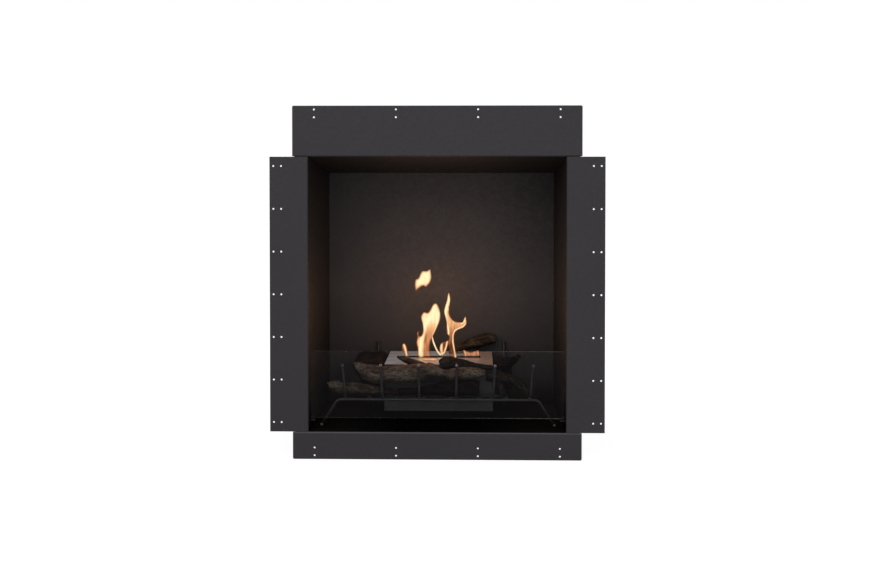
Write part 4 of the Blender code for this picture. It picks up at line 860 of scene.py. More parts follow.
def weathered_bark(name, colours):
    """Driftwood: streaks along the grain, dark cracks, mottling, ringed cut ends and painted shade
    below.
    """
    finish = Finish(name)
    grain = finish.attribute("grain", "Vector")
    tone = finish.attribute("tone")
    streaks = finish.grained((110.0, 520.0, 520.0), 6.0, 0.62, grain, 0.8)
    broad = finish.grained((34.0, 120.0, 120.0), 4.0, 0.55, grain, 0.8)
    pale = finish.grained((62.0, 105.0, 105.0), 5.0, 0.60, grain, 1.2)
    mottle = finish.noise(150.0, 6.0, 0.66)
    patch = finish.noise(44.0, 4.0, 0.6)
    light = finish.times(streaks, 0.24)
    for pattern, share in ((finish.attribute("ridge"), 0.30), (mottle, 0.50), (pale, 0.26)):
        light = finish.plus(light, finish.times(pattern, share))
    base = finish.mix(finish.remap(light, 0.52, 0.80), colours.bark_mid, colours.bark_light)
    base = finish.mix(finish.remap(broad, 0.52, 0.34, 0.0, 0.75), base,
                      scaled(colours.bark_mid, 0.40))
    base = finish.mix(finish.remap(patch, 0.46, 0.66, 0.0, 0.40), base, colours.bark_warm)
    pits = finish.remap(finish.noise(330.0, 4.0, 0.62), 0.43, 0.35, 0.0, 0.90)
    fissure = finish.larger(pits, finish.remap(streaks, 0.36, 0.28, 0.0, 0.8))
    dark = finish.larger(finish.remap(finish.attribute("crack"), 0.34, 0.92), fissure)
    base = finish.mix(dark, base, colours.bark_cracks_and_shade)
    # Painted shade: each log darkens on its lower side, with a ragged edge
    radius = finish.length(finish.stretched((0.0, 1.0, 1.0), grain))
    upward = finish.maths('DIVIDE', finish.axes(grain)["Z"], radius)
    upward = finish.plus(upward, finish.remap(patch, 0.3, 0.7, -0.30, 0.30))
    base = finish.mix(finish.remap(upward, -0.20, -0.75, 0.0, 0.72), base, colours.bark_cracks_and_shade)
    base = finish.mix(finish.attribute("bare"), base, cut_wood(finish, radius, colours))
    fine = finish.bump(mottle, 0.0012, 0.6, finish.bump(streaks, 0.0011, 0.9))
    # Tone and painted shade darken each log's colour and sheen
    finish.surface(Base_Color=finish.dyed(base, tone),
                   Roughness=finish.remap(streaks, 0.3, 0.7, 0.95, 0.80),
                   Specular_IOR_Level=finish.times(tone, 0.10),
                   Normal=finish.bump(finish.noise(1100.0, 3.0), 0.00025, 0.5, fine))
    return finish.material


def flame_glow(name, colours):
    """Thin fire: a cream core, an orange body and a dim brown veil, all giving light."""
    finish = Finish(name)
    lick = finish.grained((360.0, 100.0, 55.0), 3.0, 0.55, distortion=0.7)
    heat = finish.plus(finish.attribute("warmth"),
                       finish.remap(lick, 0.25, 0.75, -0.10, 0.10))
    colour = colours.flame_smoke
    for cooler, hotter, warmer in ((0.08, 0.36, colours.flame_body),
                                   (0.36, 0.64, colours.flame_peach),
                                   (0.64, 0.92, colours.flame_core)):
        colour = finish.mix(finish.remap(heat, cooler, hotter), colour, warmer)
    thick = finish.times(finish.remap(heat, 0.0, 0.60, 0.34, 0.96), finish.attribute("cover"))
    finish.surface(Base_Color=(0.0, 0.0, 0.0), Roughness=1.0, Specular_IOR_Level=0.0,
                   Emission_Color=colour, Emission_Strength=1.0, Alpha=thick)
    return finish.material


def plain_floor(name, colour, shade_share):
    """Pale floor that looks white but keeps a faint shadow near the object."""
    finish = Finish(name)
    finish.surface(Base_Color=finish.tinted(colour, finish.noise(1.5, 3.0), 0.98, 1.02),
                   Roughness=0.95, Specular_IOR_Level=0.0)
    strength = finish.remap(finish.length(finish.place), *SHADOW_RADII, 1.0 - shade_share, 1.0)
    shade = finish.add("ShaderNodeBsdfDiffuse", {"Color": (*[shade_share * 3] * 3, 1.0)})
    seen = finish.stacked(finish.glowing(WHITE, strength), shade.outputs["BSDF"])
    finish.show(finish.blended(finish.background_share(), finish.shader.outputs["BSDF"], seen))
    return finish.material


def paint(node, material):
    """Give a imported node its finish."""
    obj = NODES[node]
    if not obj.material_slots:
        obj.data.materials.append(material)
    for slot in obj.material_slots:
        slot.material = material


def new_piece(name, vertices, faces, material, smooth=True):
    """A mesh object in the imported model's frame."""
    mesh = bpy.data.meshes.new(name)
    mesh.from_pydata([tuple(point) for point in vertices], [], faces)
    mesh.validate()
    mesh.materials.append(material)
    if smooth:
        mesh.shade_smooth()
    obj = bpy.data.objects.new(name, mesh)
    bpy.context.scene.collection.objects.link(obj)
    return obj


def carry(piece, body, slot, *nodes):
    """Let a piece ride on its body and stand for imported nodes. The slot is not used."""
    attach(piece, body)
    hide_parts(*nodes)


def store(obj, name, values):
    """Store a number or a vector for each point of a mesh."""
    values = np.asarray(values, dtype=np.float32)
    vectors = values.ndim == 2
    layer = obj.data.attributes.new(name, 'FLOAT_VECTOR' if vectors else 'FLOAT', 'POINT')
    layer.data.foreach_set("vector" if vectors else "value", values.ravel())


def ring_at(centre, ahead, radius, sides, reference=None):
    """A round ring of points across a direction."""
    if reference is None:
        steep = abs(ahead.z) >= 0.8 * ahead.length
        reference = Vector((0, 1, 0)) if steep else Vector((0, 0, 1))
    side = ahead.cross(reference).normalized()
    up = side.cross(ahead).normalized()
    return [centre + (side * math.cos(turn) + up * math.sin(turn)) * radius
            for turn in (2 * math.pi * index / sides for index in range(sides))]


class Shell:
    """Points and faces of a piece of rods, turned shapes and weld beads."""

    def __init__(self):
        self.points, self.faces = [], []

    def add_tube(self, rings):
        """A closed tube of rings of equal length, with fans at both ends."""
        start = len(self.points)
        sides = len(rings[0])
        for ring in rings:
            self.points.extend(ring)
        for row in range(len(rings) - 1):
            low, high = start + row * sides, start + (row + 1) * sides
            for side in range(sides):
                after = (side + 1) % sides
                self.faces.append((low + side, low + after, high + after, high + side))
        last = start + (len(rings) - 1) * sides
        for ring, first in ((rings[0], start), (rings[-1], last)):
            centre = len(self.points)
            self.points.append(sum(ring, Vector()) / sides)
            for side in range(sides):
                pair = (first + side, first + (side + 1) % sides)
                face = (pair[1], pair[0], centre) if first == start else (*pair, centre)
                self.faces.append(face)

    def add_rod(self, path, radius, sides, chamfer, reference=None):
        """A round rod along a path, with its cut ends chamfered."""
        last = len(path) - 1
        rings = []
        for index, point in enumerate(path):
            ahead = path[min(index + 1, last)] - path[max(index - 1, 0)]
            places = [(point, radius)]
            if index == 0:
                places = [(point, radius - chamfer),
                          (point + ahead.normalized() * chamfer, radius)]
            elif index == last:
                places = [(point - ahead.normalized() * chamfer, radius),
                          (point, radius - chamfer)]
            rings += [ring_at(place, ahead, reach, sides, reference)
                      for place, reach in places]
        self.add_tube(rings)

    def add_turned(self, centre, axis, profile, sides):
        """A turned shape from (radius, height) points along an axis."""
        axis = axis.normalized()
        self.add_tube([ring_at(centre + axis * height, axis, radius, sides)
                       for radius, height in profile])

    def add_bead(self, centre, axis, radius, sizes, phase):
        """A lumpy ring of weld metal round a rod."""
        axis = axis.normalized()
        start = len(self.points)
        for index, outward in enumerate(ring_at(Vector(), axis, 1.0, BEAD_AROUND)):
            lump = noise.noise(Vector((index * 0.9 + phase, phase * 0.37, 1.3)))
            thick = sizes.bead_radius + sizes.bead_lumps * lump * 2
            for step in range(BEAD_ACROSS):
                turn = 2 * math.pi * step / BEAD_ACROSS
                reach = radius + thick * (BEAD_STAND_OFF + math.cos(turn))
                self.points.append(centre + outward * reach
                                   + axis * thick * BEAD_LENGTH * math.sin(turn))
        for index in range(BEAD_AROUND):
            after = (index + 1) % BEAD_AROUND
            for step in range(BEAD_ACROSS):
                beside = (step + 1) % BEAD_ACROSS
                corners = ((index, step), (after, step), (after, beside), (index, beside))
                self.faces.append(tuple(start + a * BEAD_ACROSS + b for a, b in corners))


def rounded_corner(before, corner, after):
    """Points of an arc that rounds one corner of the front rail."""
    inward, outward = (before - corner).normalized(), (after - corner).normalized()
    half_angle = inward.angle(outward) / 2
    reach = RAIL_BEND_RADIUS / math.tan(half_angle)
    centre = corner + (inward + outward).normalized() * (RAIL_BEND_RADIUS / math.sin(half_angle))
    start, end = corner + inward * reach - centre, corner + outward * reach - centre
    return [centre + start.slerp(end, step / BEND_STEPS).normalized() * RAIL_BEND_RADIUS
            for step in range(BEND_STEPS + 1)]


def front_rail_line():
    """The Y and Z of the front rail's axis."""
    low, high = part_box("grate_front_rail")
    return (low.y + high.y) / 2, high.z - ROD_RADIUS


def add_front_rail(shell, sizes):
    """The bent front rail with its ball feet. Gives back the height of the feet's tops."""
    low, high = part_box("grate_front_rail")
    rail_y, rail_z = front_rail_line()
    foot_x, foot_z = high.x - FOOT_BALL_RADIUS, low.z + FOOT_BALL_RADIUS
    feet = [Vector((side * foot_x, rail_y, foot_z)) for side in (-1, 1)]
    bends = [Vector((side * RAIL_HALF_WIDTH, rail_y, rail_z)) for side in (-1, 1)]
    path = [feet[0], *rounded_corner(feet[0], bends[0], bends[1]),
            *rounded_corner(bends[0], bends[1], feet[1]), feet[1]]
    shell.add_rod(path, FRONT_ROD_RADIUS, sizes.rod_sides, sizes.rod_chamfer, Vector((0, 1, 0)))
    for foot in feet:
        turns = [math.pi * (step + 0.5) / FOOT_STEPS for step in range(FOOT_STEPS)]
        profile = [(WORN_FOOT_RADIUS * math.sin(turn), -WORN_FOOT_RADIUS * math.cos(turn))
                   for turn in turns]
        shell.add_turned(foot, Vector((0, 0, 1)), profile, sizes.rod_sides)
    return foot_z + WORN_FOOT_RADIUS * 0.7


def build_grate_frame(sizes, material, highlit_foot_material):
    """The grate's rails, bars and uprights as smooth rods with weld beads."""
    shell = Shell()
    foot_top = add_front_rail(shell, sizes)
    front_faces = len(shell.faces)
    for name in ("grate_side_bar_left", "grate_side_bar_right", "grate_inner_rail",
                 "grate_rear_rail", "grate_post_left", "grate_post_right",
                 *("grate_cross_bar_%d" % (index + 1) for index in range(4))):
        low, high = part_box(name)
        middle, extent = (low + high) / 2, high - low
        axis = max(range(3), key=lambda index: extent[index])
        ends = [middle.copy(), middle.copy()]
        ends[0][axis], ends[1][axis] = low[axis], high[axis]
        radius = min(extent) / 2
        shell.add_rod(ends, radius, sizes.rod_sides, sizes.rod_chamfer)
        if "bar" not in name and name != "grate_inner_rail":
            continue
        for index, end in enumerate(ends):
            inward = (ends[1 - index] - end).normalized()
            shell.add_bead(end + inward * sizes.bead_radius, inward, radius, sizes,
                           end.x * 90 + index)
    obj = new_piece("grate_frame", shell.points, shell.faces, material)
    # The feet take the lighter steel, a painted highlight
    obj.data.materials.append(highlit_foot_material)
    for face in obj.data.polygons[:front_faces]:
        face.material_index = int(face.center.z < foot_top)
    names = [node for node in NODES if node.startswith("grate_") and "tine" not in node]
    carry(obj, "grate", "grate_steel", *sorted(names))


def tine_profile():
    """A tine's (radius, height) points, from inside the rail to its ball's top."""
    neck = TINE_HEIGHT - math.sqrt(TINE_BALL_RADIUS ** 2 - TINE_RADIUS ** 2)
    profile = [(TINE_RADIUS, ROD_RADIUS * 0.55)]
    profile += [(TINE_RADIUS, neck * share) for share in (0.3, 0.6, 0.97)]
    start = math.asin(TINE_RADIUS / TINE_BALL_RADIUS)
    for step in range(BALL_STEPS):
        turn = math.pi - start - (math.pi - start) * step / BALL_STEPS
        profile.append((TINE_BALL_RADIUS * math.sin(turn),
                        TINE_HEIGHT + TINE_BALL_RADIUS * math.cos(turn)))
    return profile, neck


def build_tines(sizes, material, highlit_ball_material, highlit_outer_ball_material):
    """Six leaning tines with ball tops and weld collars, as one piece each."""
    rail_y, rail_z = front_rail_line()
    profile, neck = tine_profile()
    for index in range(TINE_COUNT):
        shell = Shell()
        x = (index - (TINE_COUNT - 1) / 2) * TINE_PITCH
        base = Vector((x, rail_y, rail_z))
        lean = Vector((x * TINE_FAN_SHARE, -TINE_LEAN, TINE_HEIGHT)).normalized()
        shell.add_turned(base, lean, profile, sizes.rod_sides)
        shell.add_bead(base + lean * (ROD_RADIUS + sizes.bead_radius * 0.3), lean, TINE_RADIUS,
                       sizes, index * 3.7)
        obj = new_piece("tine_%d" % (index + 1), shell.points, shell.faces, material)
        # The balls take the lighter steel, a painted highlight, weaker on the two outer tines
        outer = index in (0, TINE_COUNT - 1)
        obj.data.materials.append(highlit_outer_ball_material if outer else highlit_ball_material)
        for face in obj.data.polygons:
            face.material_index = int((face.center - base).dot(lean) > neck)
        carry(obj, "grate", "grate_steel", "grate_tine_%d" % (index + 1))


def carve(obj, boxes, material):
    """Cut boxes out of a piece and shade it smooth, given each box's place and sizes."""
    work = bmesh.new()
    for place, size in boxes:
        bmesh.ops.create_cube(work, size=1.0, matrix=place @ Matrix.Diagonal((*size, 1.0)))
    cutter_mesh = bpy.data.meshes.new("cutter")
    work.to_mesh(cutter_mesh)
    work.free()
    cutter = bpy.data.objects.new("cutter", cutter_mesh)
    bpy.context.scene.collection.objects.link(cutter)
    cut = obj.modifiers.new("Cut", 'BOOLEAN')
    cut.operation, cut.solver, cut.use_self, cut.object = 'DIFFERENCE', 'EXACT', True, cutter
    bpy.context.view_layer.update()
    graph = bpy.context.evaluated_depsgraph_get()
    carved = bpy.data.meshes.new_from_object(obj.evaluated_get(graph))
    obj.modifiers.clear()
    obj.data = carved
    bpy.data.objects.remove(cutter, do_unlink=True)
    carved.materials.clear()
    carved.materials.append(material)
    carved.shade_smooth()
    carved.set_sharp_from_angle(angle=math.radians(32))


def build_casing_base(sizes, material):
    """The casing's base, with notches behind the bottom flange's screw holes."""
    packed = NODES["casing_base"].data
    obj = new_piece("notched_base", [vertex.co for vertex in packed.vertices],
                    [tuple(face.vertices) for face in packed.polygons], material, False)
    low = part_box("casing_base")[0]
    size = (sizes.notch_width, NOTCH_CUT_DEPTH, sizes.notch_height * 2)
    carve(obj, [(Matrix.Translation((step * FLANGE_SCREW_PITCH / 2, low.y, low.z)), size)
                for step in (-3, -1, 1, 3)], material)
    carry(obj, "housing", "casing_black", "casing_base")


def build_screws(sizes, material):
    """Pan head screws with a cross recess, in place of the four plain ones."""
    for index in range(4):
        node = "casing_screw_%d" % (index + 1)
        low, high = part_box(node)
        middle, radius = (low + high) / 2, (high.x - low.x) / 2
        seat = high.y - SCREW_HEAD_HEIGHT
        profile = [(SCREW_SHANK_RADIUS, low.y - seat), (SCREW_SHANK_RADIUS, SCREW_SHANK_TOP),
                   (radius * 0.97, 0.0), (radius, SCREW_HEAD_CHAMFER)]
        profile += [(radius * across, SCREW_HEAD_HEIGHT * up) for across, up in SCREW_HEAD_DOME]
        shell = Shell()
        shell.add_turned(Vector((middle.x, seat, middle.z)), Vector((0, 1, 0)), profile,
                         SCREW_SIDES)
        obj = new_piece("screw_%d" % (index + 1), shell.points, shell.faces, material, False)
        turn = Matrix.Rotation(SCREW_FIRST_TURN + index * SCREW_NEXT_TURN, 4, 'Y')
        place = Matrix.Translation((middle.x, high.y, middle.z)) @ turn
        wide, long, deep = sizes.recess_width, sizes.recess_length, sizes.recess_depth * 2
        carve(obj, ((place, (long, deep, wide)), (place, (wide, deep, long))), material)
        carry(obj, "housing", "zinc_steel", node)


def smooth_point(before, start, end, after, t):
    """A point of a smooth curve (Catmull-Rom) between two of four points."""
    return 0.5 * (2 * start + (end - before) * t
                  + (2 * before - 5 * start + 4 * end - after) * t * t
                  + (3 * start - before - 3 * end + after) * t ** 3)


def path_point(rows, position):
    """A smooth point along the rows of a limb, at a position in rows."""
    index = min(int(position), len(rows) - 2)
    before, start = rows[max(index - 1, 0)], rows[index]
    end, after = rows[index + 1], rows[min(index + 2, len(rows) - 1)]
    return [smooth_point(*values, position - index) for values in zip(before, start, end, after)]


def limb_rows(log, limb):
    """A limb's rows in metres, with heights counted from zero."""
    bed = (REAR_RAIL_DEPTH if log in REAR_BED_LOGS else BURNER_SETBACK) - RAIL_SETBACK
    return [(x * RAIL_HALF_WIDTH, depth_y(RAIL_SETBACK + y * bed), z * LOG_RADIUS,
             radius * LOG_RADIUS) for x, y, z, radius in LOG_LIMBS[log][limb]]


def limb_frames(rows, count):
    """Centres, cross directions and radii at even places along a limb."""
    samples = [path_point(rows, index * (len(rows) - 1) / count) for index in range(count + 1)]
    centres = [Vector(sample[:3]) for sample in samples]
    frames = []
    for index, centre in enumerate(centres):
        ahead = centres[min(index + 1, count)] - centres[max(index - 1, 0)]
        side = ahead.cross(Vector((0, 0, 1)))
        if side.length < ahead.length / 4:
            side = ahead.cross(Vector((0, 1, 0)))
        side.normalize()
        up = side.cross(ahead).normalized()
        frames.append((centre, side, up, ahead.normalized(), samples[index][3]))
    return frames


def section_reach(turn, share, split):
    """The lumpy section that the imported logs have, as a share of their radius."""
    lumps = sum(depth_share * math.sin(waves * turn + phase + drift * share)
                for waves, depth_share, phase, drift in LOG_LUMP_SHARES)
    if not split:
        return 1.0 + lumps
    reach = 1.0 - SPLIT_SQUARE_SHARE * math.cos(4 * turn) + SPLIT_LUMP_SHARE * lumps
    facing = math.cos(turn - SPLIT_FACE_TURN)
    return min(reach, SPLIT_FACE_SHARE / facing) if facing > 0 else reach


def resting_height(log):
    """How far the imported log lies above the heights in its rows."""
    split = log == "log_split"
    ring_turn = SPLIT_RING_TURN_SHARE if split else 0.0
    heights = []
    for limb in range(len(LOG_LIMBS[log])):
        rows = limb_rows(log, limb)
        count = (len(rows) - 1) * CAD_RINGS_PER_ROW
        for index, (centre, side, up, _, radius) in enumerate(limb_frames(rows, count)):
            for point in range(CAD_RING_POINTS):
                turn = 2 * math.pi * (point + ring_turn) / CAD_RING_POINTS
                reach = radius * section_reach(turn, index / count, split)
                heights.append(centre.z + (side.z * math.cos(turn) + up.z * math.sin(turn))
                               * reach)
    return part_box(log)[0].z - min(heights)


def bell(value, middle, width):
    """1 at the middle of a soft bump, and less to both sides."""
    return math.exp(-((value - middle) / width) ** 2)


def along_grain(run, over, length, width):
    """A place in a pattern that is longer along a limb than across it."""
    return Vector((run / length, over.y / width, over.z / width))


class Limb:
    """A barked limb under construction, with what the bark's finish reads at each point."""

    def __init__(self, log, limb, lift, sizes, seed):
        self.sizes, self.lift, self.split = sizes, lift, log == "log_split"
        rows = limb_rows(log, limb)
        self.length = sum((Vector(b[:3]) - Vector(a[:3])).length for a, b in zip(rows, rows[1:]))
        self.count = max(FEWEST_RINGS, round(self.length / sizes.ring_step))
        girth = 2 * math.pi * max(row[3] for row in rows)
        self.around = max(FEWEST_AROUND, round(girth / sizes.around_step))
        self.frames = limb_frames(rows, self.count)
        self.knots = [knot[2:] for knot in KNOTS if knot[:2] == (log, limb)]
        self.underside_shades = [underside_shade[2:] for underside_shade in UNDERSIDE_SHADES if underside_shade[:2] == (log, limb)]
        self.shift = Vector((seed * 7.31, seed * 3.17, seed * 5.03))
        self.slant = 0.0 if limb else LOG_SLANTS.get(log, 0.0)
        self.points, self.faces = [], []
        self.marks = {"grain": [], "crack": [], "ridge": [], "bare": []}
        self.add_bark()
        self.add_end(0)
        self.add_end(1)

    def add_point(self, place, *marks):
        """Keep a point with its grain, crack, ridge and bareness, and number it."""
        self.points.append(place)
        for layer, mark in zip(self.marks.values(), marks):
            layer.append(mark)
        return len(self.points) - 1

    def join(self, ring, onward, reverse=False):
        """Fill the band from a ring to the next one, or to a single point."""
        for index in range(self.around):
            after = (index + 1) % self.around
            far = (onward[after], onward[index]) if len(onward) > 1 else (onward[0],)
            face = (ring[index], ring[after], *far)
            self.faces.append(face[::-1] if reverse else face)

    def add_bark(self):
        """The limb's bark, ring by ring from its first end to its last."""
        self.run, rings = 0.0, []
        for index, section in enumerate(self.frames):
            if index:
                self.run += (section[0] - self.frames[index - 1][0]).length
            rings.append([self.bark_point(section, index / self.count,
                                          2 * math.pi * point / self.around)
                          for point in range(self.around)])
        for ring, onward in zip(rings, rings[1:]):
            self.join(ring, onward)

    def bark_point(self, section, share, turn):
        """One point of the bark, with relief, cracks, knots, painted underside shade and
        splinters.
        """
        centre, side, up, ahead, radius = section
        sizes, run = self.sizes, self.run
        cosine, sine = math.cos(turn), math.sin(turn)
        base = radius * section_reach(turn, share, self.split)
        over = Vector((0.0, cosine * base, sine * base))
        streak = noise.fractal(along_grain(run, over, sizes.streak_length, sizes.streak_width)
                               + self.shift, 0.9, 2.1, 3)
        lump = noise.noise(along_grain(run, over, sizes.lump_length, sizes.lump_width)
                           + self.shift)
        field = noise.noise(along_grain(run, over, sizes.crack_length, sizes.crack_width)
                            - self.shift)
        crack = max(0.0, 1.0 - abs(field) / CRACK_BAND)
        fade = min(1.0, radius / THIN_LIMB_RADIUS)
        height = (sizes.streak_relief * streak + sizes.lump_relief * lump
                  - sizes.crack_depth * crack * crack) * fade
        for place, angle, size, rise in self.knots:
            across = (turn - angle + math.pi) % (2 * math.pi) - math.pi
            away = math.hypot(run - place * self.length, across * base) / size
            if away < KNOT_REACH:
                height += rise * (bell(away, *KNOT_RIM)
                                  - KNOT_HEART_DEPTH * bell(away, *KNOT_HEART))
                crack = max(crack, bell(away, *KNOT_CRACK), 0.5 * bell(away, *KNOT_RING))
        # Painted shade: below a height of the section the bark is marked as dark as a crack
        for first, last, level in self.underside_shades:
            along = max(0.0, 1.0 - abs(2 * share - first - last) / (last - first))
            below = (level - sine + 0.25 * lump) / UNDERSIDE_SHADE_EDGE
            crack = max(crack, min(1.0, along * 3.0, max(0.0, below)))
        place = (centre + (side * cosine + up * sine) * (base + height)
                 + self.end_slide(over, ahead, radius, share, sine) + Vector((0, 0, self.lift)))
        ridge = 0.5 + 0.5 * max(-1.0, min(1.0, streak * 0.8 + lump * 0.9))
        return self.add_point(place, (run, over.y, over.z), crack * fade, ridge, 0.0)

    def end_slide(self, over, ahead, radius, share, sine):
        """How far splinters and a slanting cut move a point of the bark along the limb."""
        sizes, torn = self.sizes, 0.0
        if radius > SPLINTER_RADIUS:
            room = min(self.run, self.length - self.run)
            torn = max(0.0, 1.0 - room / sizes.splinter_length)
        jag = noise.noise(Vector((over.y / JAG_WIDTH, over.z / JAG_WIDTH, share * 3))
                          + self.shift)
        slide = ahead * (sizes.splinter_length * jag * torn * (1 if share > 0.5 else -1))
        if self.slant and share < 0.5:
            lean = max(0.0, 1.0 - self.run / (self.slant * SLANT_REACH))
            slide += ahead * (self.slant * lean * (0.5 - 0.5 * sine))
        return slide

    def add_end(self, end):
        """A rough, slightly bulging cut end, ring by ring to its middle."""
        first = end * self.count
        _, side, up, ahead, radius = self.frames[first]
        outward = ahead * (1 if end else -1)
        ring = list(range(first * self.around, (first + 1) * self.around))
        rim = [self.points[index] for index in ring]
        middle = sum(rim, Vector()) / self.around
        bulge = radius * (LOG_END_BULGE if radius > TWIG_END_RADIUS else TWIG_END_BULGE)
        fade = min(1.0, radius / TWIG_END_RADIUS)
        bare = 1.0 if radius > SPLINTER_RADIUS else 0.0
        steps = max(3, round(radius / END_RING_STEP))
        for step in range(1, steps):
            inner = 1.0 - step / steps
            onward = []
            for corner in rim:
                spread = (corner - middle) * inner
                across, above = spread.dot(side), spread.dot(up)
                rough = noise.noise(Vector((across / END_ROUGH_WIDTH, above / END_ROUGH_WIDTH,
                                            end * 4.0)) + self.shift)
                rise = bulge * (1 - inner * inner) + rough * END_ROUGH_HEIGHT * fade
                place = middle + spread + outward * rise
                crack = max(0.0, 1.0 - abs(rough) / END_CRACK_BAND) * 0.6
                onward.append(self.add_point(place, (self.run * end, across, above), crack, 0.4,
                                             bare))
            self.join(ring, onward, not end)
            ring = onward
        tip = self.add_point(middle + outward * bulge, (self.run * end, 0.0, 0.0), 0.3, 0.4, bare)
        self.join(ring, [tip], not end)


def build_log(log, seed, sizes, material):
    """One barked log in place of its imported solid."""
    lift = resting_height(log)
    points, faces, shares, marks = [], [], [], {}
    for limb in range(len(LOG_LIMBS[log])):
        shell = Limb(log, limb, lift, sizes, seed + limb * 0.5)
        faces += [tuple(len(points) + corner for corner in face) for face in shell.faces]
        points += shell.points
        shares += [TWIG_TONES.get((log, limb), 1.0)] * len(shell.points)
        for name, layer in shell.marks.items():
            marks.setdefault(name, []).extend(layer)
    obj = new_piece(log.replace("log_", "barked_log_"), points, faces, material)
    low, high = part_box(log)
    # Each log's own tone with painted shade, from its left end to its right
    left_tone_and_shade, right_tone_and_shade = LOG_TONES_AND_SHADE[log]
    marks["tone"] = [(left_tone_and_shade + (right_tone_and_shade - left_tone_and_shade) * (point.x - low.x)
                      / (high.x - low.x)) * share for point, share in zip(points, shares)]
    for name, layer in marks.items():
        store(obj, name, layer)
    carry(obj, "grate", "ceramic_log", log)


def smooth_outline(points, spacing):
    """A closed outline with rounded turns and even steps."""
    fine = []
    for index in range(len(points)):
        corners = [Vector(points[(index + offset) % len(points)]) for offset in (-1, 0, 1, 2)]
        steps = max(2, round((corners[2] - corners[1]).length / spacing))
        fine += [smooth_point(*corners, step / steps) for step in range(steps)]
    return fine


def distance_to_outline(points, outline):
    """Each point's distance from the nearest side of a closed outline."""
    starts = np.array([tuple(point) for point in outline])
    sides = np.roll(starts, -1, axis=0) - starts
    span = np.maximum((sides ** 2).sum(1), 1e-12)
    best = []
    for point in np.array([tuple(point) for point in points]):
        t = np.clip(((point - starts) * sides).sum(1) / span, 0.0, 1.0)
        gap = point - (starts + sides * t[:, None])
        best.append(math.sqrt((gap ** 2).sum(1).min()))
    return np.array(best)


def inside_outline(x, z, outline):
    """Whether a point lies inside a closed outline."""
    inside = False
    for start, end in zip(outline, outline[1:] + outline[:1]):
        if (start.y > z) != (end.y > z):
            if x < (end.x - start.x) * (z - start.y) / (end.y - start.y) + start.x:
                inside = not inside
    return inside


def heat_of_strands(points, strands):
    """How hot each point is from the strands that pass near it."""
    places = np.array([tuple(point) for point in points])
    best = np.zeros(len(places))
    for heat, rows in strands:
        rows = np.array(rows)
        for start, end in zip(rows, rows[1:]):
            side = end[:2] - start[:2]
            t = np.clip(((places - start[:2]) @ side) / max(side @ side, 1e-12), 0.0, 1.0)
            away = np.linalg.norm(places - (start[:2] + t[:, None] * side), axis=1)
            width = start[2] + (end[2] - start[2]) * t
            best = np.maximum(best, heat * np.exp(-(away / (width * STRAND_SPREAD)) ** 2))
    return best


def flame_net(outline, pitch):
    """Points and triangles that fill an outline, and which points lie on its rim."""
    low = Vector([min(point[axis] for point in outline) for axis in range(2)])
    high = Vector([max(point[axis] for point in outline) for axis in range(2)])
    inner, row, z = [], 0, low.y + pitch / 2
    while z < high.y:
        x = low.x + pitch * FLAME_ROW_STARTS[row % 2]
        while x < high.x:
            if inside_outline(x, z, outline):
                inner.append(Vector((x, z)))
            x += pitch
        z += pitch * FLAME_ROW_PITCH
        row += 1
    if inner:
        room = distance_to_outline(inner, outline)
        inner = [point for point, gap in zip(inner, room) if gap > pitch * FLAME_RIM_ROOM]
    rim = list(range(len(outline)))
    made, _, triangles, sources, _, _ = geometry.delaunay_2d_cdt(outline + inner, [], [rim],
                                                                 1, 1e-7)
    on_rim = [any(source < len(outline) for source in group) for group in sources]
    return made, triangles, np.array(on_rim)


def flame_heat(name, seed, point, gap, strand_heat):
    """How hot a flame glows at a point of its plane, a gap away from its rim."""
    cool_z, hot_z, coolest, hottest, rim = FLAME_BODIES[name]
    rise = min(1.0, max(0.0, (point.y - cool_z) / (hot_z - cool_z)))
    body = coolest + (hottest - coolest) * rise * rise * (3 - 2 * rise)
    curl = noise.noise(Vector((point.x / FLAME_CURL_WIDTH, seed * 5.0,
                               point.y / FLAME_CURL_LENGTH)))
    heat = max(body + curl * BODY_CURL, strand_heat + curl * STRAND_CURL)
    fringe = RIM_COOLING * max(0.0, 1.0 - gap / rim) ** 1.5
    return max(0.05, min(1.0, heat - fringe))


def flame_cover(name, point, gap):
    """How much a flame hides of what lies behind it, at a point of its plane."""
    soft = min(1.0, 0.02 + 1.6 * gap / FLAME_BODIES[name][-1])
    if name == "flame_low":
        return soft * LOW_FLAME_COVER
    root = min(1.0, max(0.0, (point.y - FLAME_ROOT_LOW) / FLAME_ROOT_FADE))
    return soft * (ROOT_COVER + (1.0 - ROOT_COVER) * root)


